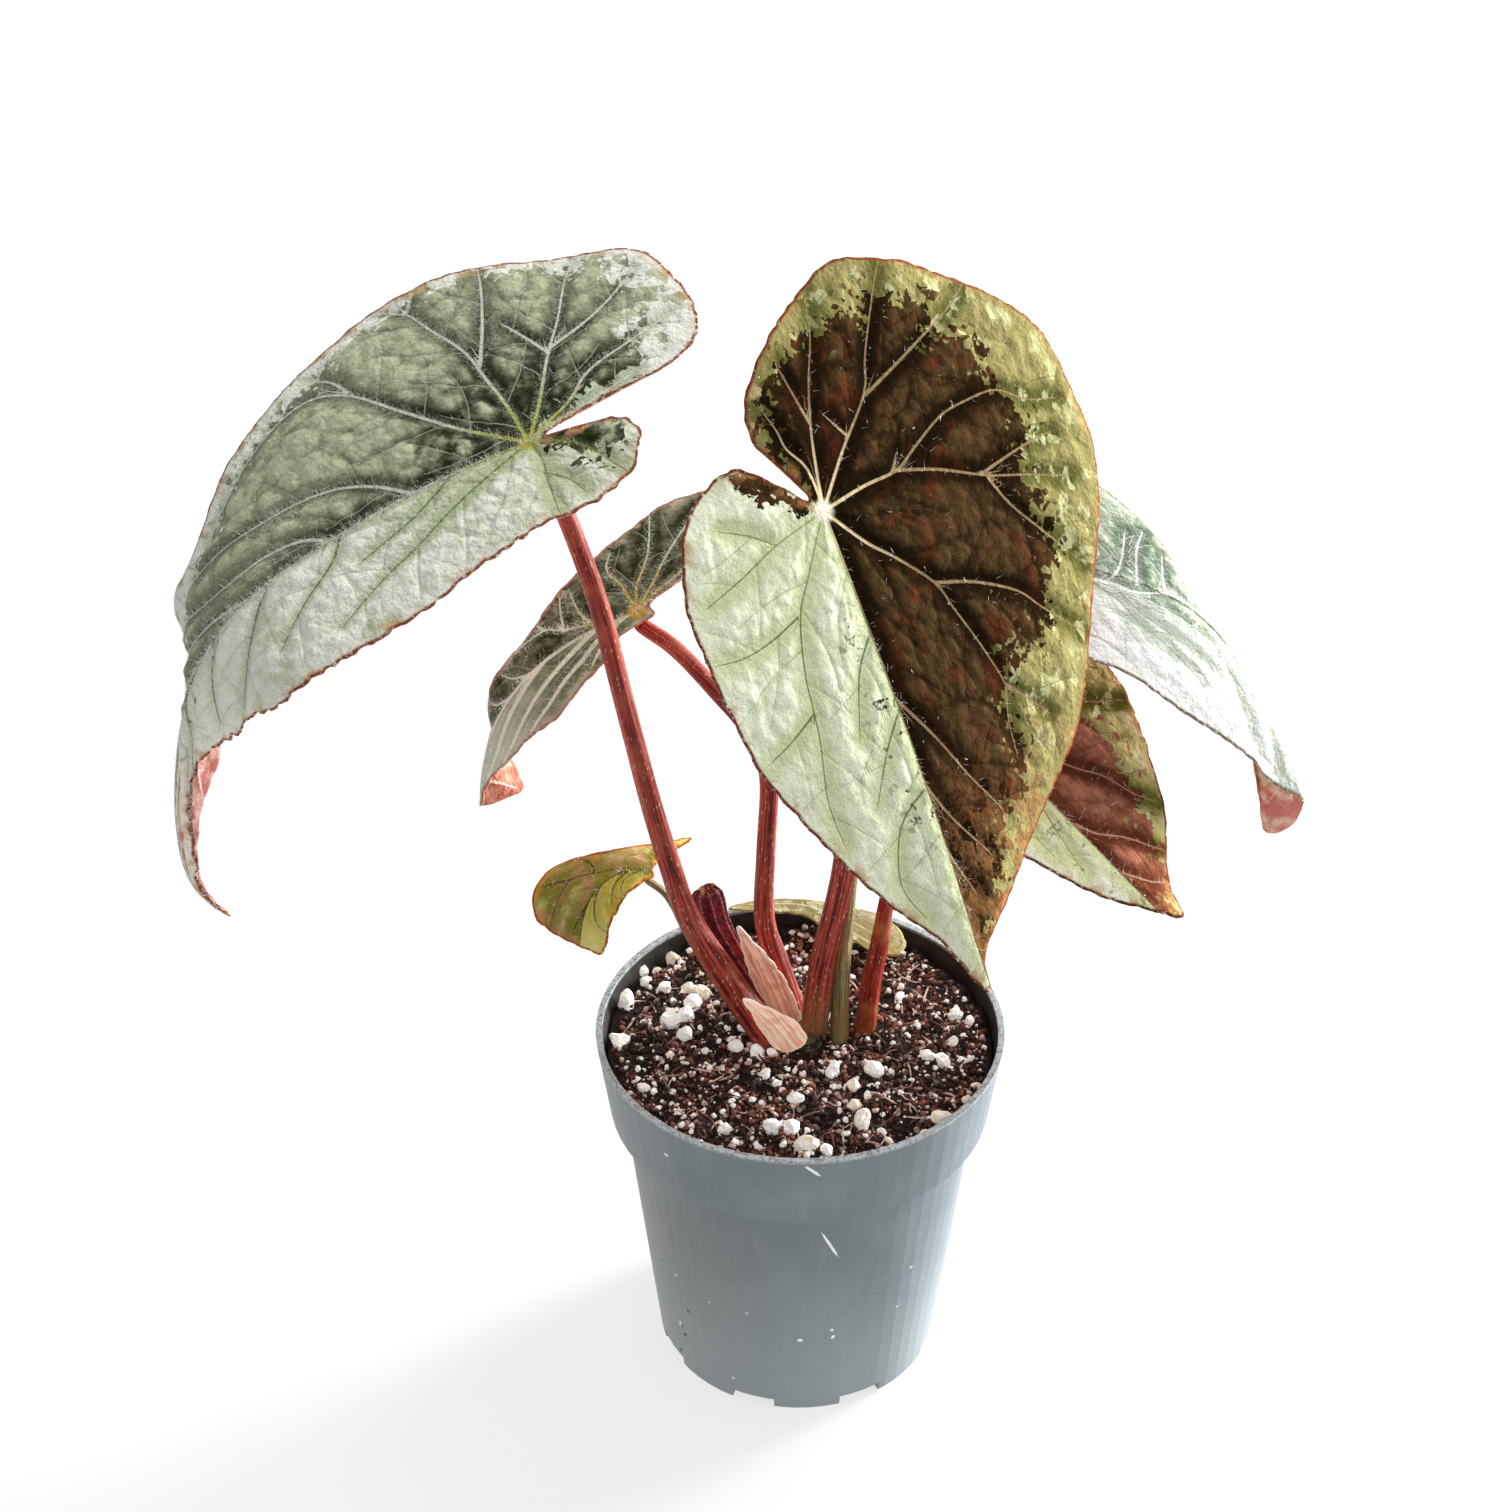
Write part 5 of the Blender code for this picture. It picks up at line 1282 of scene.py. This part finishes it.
def blade_tones(shade, leaf, look, dark):
    """The colours between the veins."""
    # painted light on the fields: shade in the creases and beside the veins, a highlight on their tops
    top = painted_field_light(leaf, look)
    cloud = (0.6 * leaf.broad + 0.5 * leaf.patchy).step(0.54, 0.68)
    mottle = leaf.tile.step(0.5, 0.66) * leaf.patchy.step(0.45, 0.55)
    middle = middle_tone(shade, leaf, look, top, cloud)
    band = field_tone(shade, look["band"], top, mottle)
    near = field_tone(shade, look["near"], top, cloud)
    if look["tail"]:
        start, end, tail_tone = look["tail"]
        near = shade.mix(leaf.ahead.step(start, end) * 0.75, near, tail_tone)
    colour = shade.mix(leaf.big, near, band)
    if look["tip"]:
        start, end, tip_tone = look["tip"]
        tip = leaf.ahead.step(start, end) * (leaf.tile + leaf.fine).step(0.75, 1.05) * leaf.big
        colour = shade.mix(tip, colour, tip_tone)
        middle = shade.mix(tip * 0.5, middle, tip_tone)
    return shade.mix(dark, colour, middle)


def with_twigs(shade, leaf, look, colour, dark):
    """Side veins, and black flecks along the midrib on the other half."""
    tones = shade.mix(dark, look["twig"][1], look["twig"][0])
    colour = shade.mix(leaf.twig * (0.5 - 0.22 * leaf.small), colour, tones)
    reach = leaf.stalk.step(14.0, 20.0) * leaf.stalk.step(66.0, 52.0)
    flecks = (leaf.fleck + 0.35 * leaf.chip).step(0.83, 0.87) * leaf.patchy.step(0.47, 0.52)
    flecks = flecks * leaf.fine.step(0.44, 0.5) * leaf.half.step(-10.0, -2.0) * leaf.small
    return shade.mix(flecks * reach * look["specks"], colour, FLECK_TONE)


def with_veins(shade, leaf, look, colour, dark):
    """The main veins with a pale halo and painted shade beside them, and the hub where they meet."""
    streak = shade.noise(leaf.at, 2.2, 2).step(0.42, 0.62)
    halo = leaf.vein_far.step(1.7, 0.3) * streak * look["halo"]
    colour = shade.mix(halo * leaf.big, colour, look["vein"][1])
    # painted shade beside each vein, fading along it
    vein_shade = leaf.vein_far.step(1.3, 0.5) * (1 - 0.8 * leaf.vein_along) * look["vein_shade"]
    colour = shade.mix(vein_shade * dark * 0.6, colour, look["zone"][0])
    colour = shade.mix(vein_shade * leaf.small * 0.2, colour, look["near"][0])
    out = leaf.stalk.step(4.0, 22.0)
    vein, near_vein = (shade.mix(out, *look[key]) for key in ("vein", "near_vein"))
    colour = shade.mix(leaf.vein * 0.85, colour, shade.mix(leaf.big, near_vein, vein))
    return shade.mix(leaf.stalk.step(2.6, 1.0), colour, look["hub"])


def with_margin(shade, leaf, look, colour):
    """A warm tinge beside the margin, a line along it, and a fine grain over it all."""
    tinge = leaf.edge.step(3.0, 0.2) * leaf.patchy.step(0.42, 0.58) * leaf.tile.step(0.3, 0.6)
    colour = shade.mix(tinge * 0.75, colour, look["tinge"])
    rim = leaf.edge.step(0.75, 0.25) * leaf.fine.step(0.3, 0.5)
    colour = shade.mix(rim, colour, look["rim"])
    grainy = shade.mix(leaf.grain.step(0.3, 0.7), "#9a9a9a", "#ffffff")
    return shade.mix(0.6, colour, shade.mix(1.0, colour, grainy, "MULTIPLY"))


def with_lower_face(shade, leaf, look, colour):
    below = shade.mix(leaf.patchy.step(0.4, 0.65), *look["under"])
    below = shade.mix(leaf.vein | leaf.twig * 0.6, below, look["under_vein"])
    return shade.mix(leaf.under.step(0.3, 0.7), colour, below)


def leaf_height(shade, leaf):
    """Small domes and grain all over, with a groove along each side vein."""
    wide, narrow = (shade.cells(leaf.at, scale, "SMOOTH_F1") for scale in (0.55, 1.4))
    domes = 0.3 * leaf.fine + 0.08 * leaf.grain - 0.55 * wide - 0.3 * narrow
    return domes - 0.2 * leaf.twig_far.step(0.6, 0.0)


def leaf_material(name):
    look = {**PLAIN_LOOK, **LOOKS[name]}
    gloss = LEAF_GLOSS if look["down"] else 0.0
    shade = Shade(name + "_skin", {"Specular IOR Level": gloss})
    leaf = leaf_ground(shade, look)
    dark = dark_part(leaf, look)
    colour = blade_tones(shade, leaf, look, dark)
    colour = with_twigs(shade, leaf, look, colour, dark)
    colour = with_veins(shade, leaf, look, colour, dark)
    colour = with_margin(shade, leaf, look, colour)
    colour = with_lower_face(shade, leaf, look, colour)
    return shade.finish(colour, leaf_height(shade, leaf), look["bump"], 0.2 * leaf.grain + 0.52)


def stalk_material(name, tones, fleck_tone):
    """Streaks along the stalk, pale flecks, and a greener foot."""
    furrow, ridge, blotch, foot = tones
    shade = Shade(name, {"Specular IOR Level": SOFT_GLOSS})
    at = shade.place()
    streaks = shade.noise(shade.stretched(shade.fact("turn", "Vector"), (6, 6, 10)), 1.0, 4, 0.65)
    colour = shade.mix(streaks.step(0.42, 0.6), furrow, ridge)
    colour = shade.mix(0.6 * shade.noise(at, 0.16, 2).step(0.5, 0.68), colour, blotch)
    flecks = shade.cells(shade.stretched(at, (1.5, 1.5, 0.45)), 1.0).step(0.26, 0.12)
    flecks = flecks * streaks.step(0.4, 0.5)
    colour = shade.mix(0.75 * flecks, colour, fleck_tone)
    colour = shade.mix(0.6 * shade.fact("share").step(0.12, 0.0), colour, foot)
    return shade.finish(colour, streaks + 0.4 * flecks, 0.35, 0.3 * streaks + 0.28)


def crown_material():
    shade = Shade("crown_bark", {"Roughness": 0.8})
    at = shade.place()
    wave = {"Vector": at, "Scale": 0.9, "Distortion": 4.0, "Detail": 3.0}
    rings = shade.node("TexWave", wave, "Fac", bands_direction="Z")
    patch = shade.noise(at, 0.5, 4)
    colour = shade.mix(patch.step(0.4, 0.6), "#3a2a20", "#6d6440")
    colour = shade.mix(rings.step(0.7, 0.95) * patch.step(0.5, 0.6), colour, "#c9bd92")
    return shade.finish(colour, rings + patch, 0.5)


def young_leaf_material():
    """Dark maroon pleats with pink ridges and a pale fringe at the top."""
    shade = Shade("young_leaf_skin", {"Roughness": 0.4, "Specular IOR Level": SOFT_GLOSS})
    at, pleat, share = shade.place(), shade.fact("pleat"), shade.fact("share")
    patch = shade.noise(at, 0.8, 3)
    colour = shade.mix(patch.step(0.35, 0.65), "#4a1016", "#8a2a32")
    ridge = pleat.step(0.4, 0.1) * shade.noise(at, 2.0, 2).step(0.35, 0.6)
    colour = shade.mix(0.8 * ridge, colour, "#d39098")
    fringe = share.step(0.86, 1.0) * patch.step(0.45, 0.55)
    colour = shade.mix(0.6 * fringe, colour, "#b8a35e")
    return shade.finish(colour, patch - 0.4 * pleat, 0.4)


def sheath_material(name, low, high, glow):
    """Thin paper, pink and cream, brightened by a painted glow; brown patches, fine long veins."""
    # the glow is painted light that lifts the sheath out of its shade
    shade = Shade(name, {"Roughness": 0.6, "Specular IOR Level": SOFT_GLOSS,
                         "Emission Strength": glow, "Emission Color": SHEATH_LIGHT})
    at = shade.fact("flat", "Vector")
    lines = shade.noise(shade.stretched(at, (0.1, 1.3, 1.0)), 1.0, 4, 0.7)
    colour = shade.mix(lines.step(0.38, 0.6), low, high)
    colour = shade.mix(0.6 * shade.noise(at, 0.3, 4).step(0.5, 0.7), colour, "#b0603c")
    colour = shade.mix(shade.fact("edge").step(0.6, 0.1), colour, "#fbf2e4")
    return shade.finish(colour, lines, 0.3)


def pot_tones(shade, at, wrapped, cloud, fine):
    """Clouds and smears in the plastic, lighter towards the foot as painted light from the floor below,
    with dust low down.
    """
    x, z = shade.parts(at, "XZ")
    smear = shade.noise(shade.stretched(wrapped, (1.0, 0.2, 1.0)), 0.35, 4)
    colour = shade.mix(cloud.step(0.38, 0.62), "#69747a", "#747e82")
    colour = shade.mix(0.2 * smear.step(0.5, 0.75), colour, "#8b9394")
    low_left = x.step(4.0, -28.0) * z.step(66.0, 40.0)
    colour = shade.mix(0.45 * low_left, colour, "#7f7b73")
    # painted light bounced up from the floor: lighter towards the foot
    colour = shade.mix(0.6 * z.step(50.0, 0.0), colour, "#98a2a5")
    dusty = fine.step(0.52, 0.7) * shade.noise(at, 0.22, 2).step(0.5, 0.65) * z.step(66.0, 20.0)
    return shade.mix(0.4 * dusty, colour, "#a9aaa5")


def pot_mark(shade, wrapped, fine, turn, height, half_length, half_width, tilt):
    """1 on a small mark on the pot's outside, with an uneven edge."""
    place = {"Location": (math.radians(turn) * MARK_RADIUS, height, 0),
             "Rotation": (0, 0, math.radians(tilt)), "Scale": (half_length, half_width, 1)}
    spot = shade.node("Mapping", {"Vector": wrapped, **place}, 0, vector_type="TEXTURE")
    reach = shade.node("VectorMath", {0: spot}, "Value", operation="LENGTH")
    return (reach + 0.8 * (fine - 0.5)).step(1.1, 0.75)


def inner_wall_shade(shade, at):
    """1 on the inner wall between the soil and the rim, where painted shade goes."""
    x, y, z = shade.parts(at)
    wall = shade.node("MapRange", {"Value": z, "From Min": 0.0, "From Max": POT_HEIGHT,
                                   "To Min": BASE_RADIUS + 1.8, "To Max": RIM_RADIUS - 0.8}, 0)
    within = (shade.calc("SQRT", x * x + y * y) - wall).step(0.1, -0.1)
    high = z.step(POT_HEIGHT - 6.0, POT_HEIGHT - 5.9) * z.step(POT_HEIGHT - 0.3, POT_HEIGHT - 0.8)
    return within * high


def pot_material():
    """Blue-grey moulded plastic with a worn rim that also carries a painted highlight, scuffs, dust,
    and painted shade on the inner wall.
    """
    shade = Shade("pot_plastic", {})
    at = shade.place()
    x, y, z = shade.parts(at)
    arc = shade.calc("ARCTAN2", y, x) * MARK_RADIUS
    wrapped = shade.node("CombineXYZ", {0: arc, 1: z, 2: 0.0}, 0)
    cloud, fine = shade.noise(at, 0.05, 3), shade.noise(at, 1.6, 3, 0.7)
    colour = pot_tones(shade, at, wrapped, cloud, fine)
    for *mark, mark_tone in POT_MARKS:
        colour = shade.mix(pot_mark(shade, wrapped, fine, *mark), colour, mark_tone)
    # a lighter lip: wear, and a painted highlight along the top edge
    rim = z.step(POT_HEIGHT - 0.9, POT_HEIGHT - 0.2) * fine.step(0.38, 0.55)
    colour = shade.mix(0.75 * rim, colour, "#b9c0c0")
    # painted shade on the inner wall above the soil
    colour = shade.mix(inner_wall_shade(shade, at), colour, "#2b2723")
    return shade.finish(colour, fine, 0.05, 0.15 * cloud + 0.4)


def soil_material():
    shade = Shade("soil_mix", {"Roughness": 0.95})
    at = shade.place()
    lumps, fine = shade.noise(at, 0.7, 4), shade.noise(at, 3.0, 3, 0.7)
    colour = shade.mix(lumps.step(0.35, 0.65), "#120c0b", "#2c1c18")
    colour = shade.mix(0.6 * fine.step(0.5, 0.7), colour, "#5a3a30")
    return shade.finish(colour, lumps + fine, 0.8)


def crumb_material():
    """Crumbs and fibres from near black to red-brown and tan, darker in clumps."""
    shade = Shade("soil_crumb", {"Roughness": 0.9})
    at, own = shade.place(), shade.fact("tone")
    fine = shade.noise(at, 2.4, 3, 0.7)
    clump = shade.noise(at, 0.14, 2).step(0.48, 0.6)
    colour = shade.mix(own.step(0.0, 0.35), "#160e0c", "#5a3226")
    colour = shade.mix(own.step(0.4, 0.66), colour, "#a36b58")
    colour = shade.mix(own.step(0.76, 0.86), colour, "#f6dccf")
    colour = shade.mix(0.75 * clump, colour, "#1a100d")
    colour = shade.mix(0.55 * fine.step(0.5, 0.7), colour, "#1d1310")
    return shade.finish(colour, fine, 0.3)


def perlite_material():
    """White glassy grains with a painted glow, some tinted cream."""
    # a painted glow keeps the grains white where the leaves shade the soil
    shade = Shade("perlite", {"Roughness": 0.7, "Emission Strength": PERLITE_GLOW,
                              "Emission Color": "#fffaf0"})
    at = shade.place()
    pits = shade.cells(at, 1.3)
    cream = shade.fact("tone").step(0.7, 0.95) * shade.noise(at, 0.8, 2).step(0.35, 0.6)
    colour = shade.mix(cream, "#fffffd", "#ead6a6")
    colour = shade.mix(0.6 * pits.step(0.2, 0.08), colour, "#8f7c66")
    return shade.finish(colour, pits + shade.noise(at, 3.0, 3), 0.35)


def hair_material():
    shade = Shade("down", {"Roughness": 0.6})
    return shade.finish(shade.mix(shade.noise(shade.place(), 0.4, 2), *HAIR_TONES))


def floor_material():
    """A white table that glows a little, so shadows on it stay faint."""
    shade = Shade("pale_floor", {"Roughness": 0.9, "Emission Strength": FLOOR_GLOW,
                                 "Emission Color": "#ffffff"})
    return shade.finish(shade.mix(shade.noise(shade.place(), 0.01, 2), *FLOOR_TONES))


# Putting it together

def plant():
    down = hair_material()
    for name, (around, rings, count) in BLADES.items():
        made, upper, normal, facts = fine_blade(name + "_fine", LEAVES[name], around, rings,
                                                leaf_material(name))
        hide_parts(name)
        hairs(name + "_hairs", upper, normal, facts, count, down)
    for name, sheath in SHEATHS.items():
        paper = sheath_material(name + "_skin", *SHEATH_TONES[name])
        made = fine_blade(name + "_fine", sheath, SHEATH_AROUND, SHEATH_RINGS, paper)[0]
        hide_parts(name)
    for name in STALKS:
        look = STALK_TONES.get(name, RED)
        stalk(name, stalk_material(name + "_skin", *look))
    crown(crown_material())
    young_leaf(young_leaf_material())


def dress_pot():
    skin = pot_material()
    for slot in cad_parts["pot"].material_slots:
        slot.material = skin


def add(name, data):
    made = bpy.data.objects.new(name, data)
    bpy.context.scene.collection.objects.link(made)
    return made


def camera():
    lens = bpy.data.cameras.new("camera")
    lens.sensor_width = SENSOR
    lens.lens = LENS
    made = add("camera", lens)
    made.location = CAMERA_AT
    made.rotation_euler = (math.radians(90 - CAMERA_DIP), 0.0, math.radians(CAMERA_TURN))
    bpy.context.scene.camera = made


def lamp(name, place, target, size, power, colour):
    light = bpy.data.lights.new(name, "AREA")
    light.shape = "DISK"
    light.size = size
    light.energy = power
    light.color = colour
    made = add(name, light)
    made.location = place
    aim = Vector(target) - Vector(place)
    made.rotation_euler = aim.to_track_quat("-Z", "Y").to_euler()


def sky():
    """A wide soft light: the world is brighter towards the right, the back and above."""
    world = bpy.data.worlds.new("studio")
    world.use_nodes = True
    nodes, links = world.node_tree.nodes, world.node_tree.links
    way = nodes.new("ShaderNodeTexCoord")
    towards = nodes.new("ShaderNodeVectorMath")
    towards.operation = "DOT_PRODUCT"
    towards.inputs[1].default_value = Vector(SKY_LIGHT_FROM).normalized()
    fall = nodes.new("ShaderNodeMapRange")
    fall.interpolation_type = "SMOOTHSTEP"
    for key, value in SKY_FALL.items():
        fall.inputs[key].default_value = value
    links.new(way.outputs["Generated"], towards.inputs[0])
    links.new(towards.outputs["Value"], fall.inputs["Value"])
    links.new(fall.outputs[0], nodes["Background"].inputs["Strength"])
    nodes["Background"].inputs["Color"].default_value = (1, 1, 1, 1)
    bpy.context.scene.world = world


def studio():
    mesh = bpy.data.meshes.new("floor")
    corners = [(x * FLOOR_REACH, y * FLOOR_REACH, 0) for x, y in ((-1, -1), (1, -1), (1, 1), (-1, 1))]
    mesh.from_pydata(corners, [], [(0, 1, 2, 3)])
    mesh.materials.append(floor_material())
    floor = add("floor", mesh)
    sky()
    for name, settings in LAMPS.items():
        lamp(name, *settings)
    bpy.context.scene.view_settings.view_transform = "Standard"


def main():
    camera()
    soil()
    plant()
    dress_pot()
    studio()
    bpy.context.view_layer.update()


main()
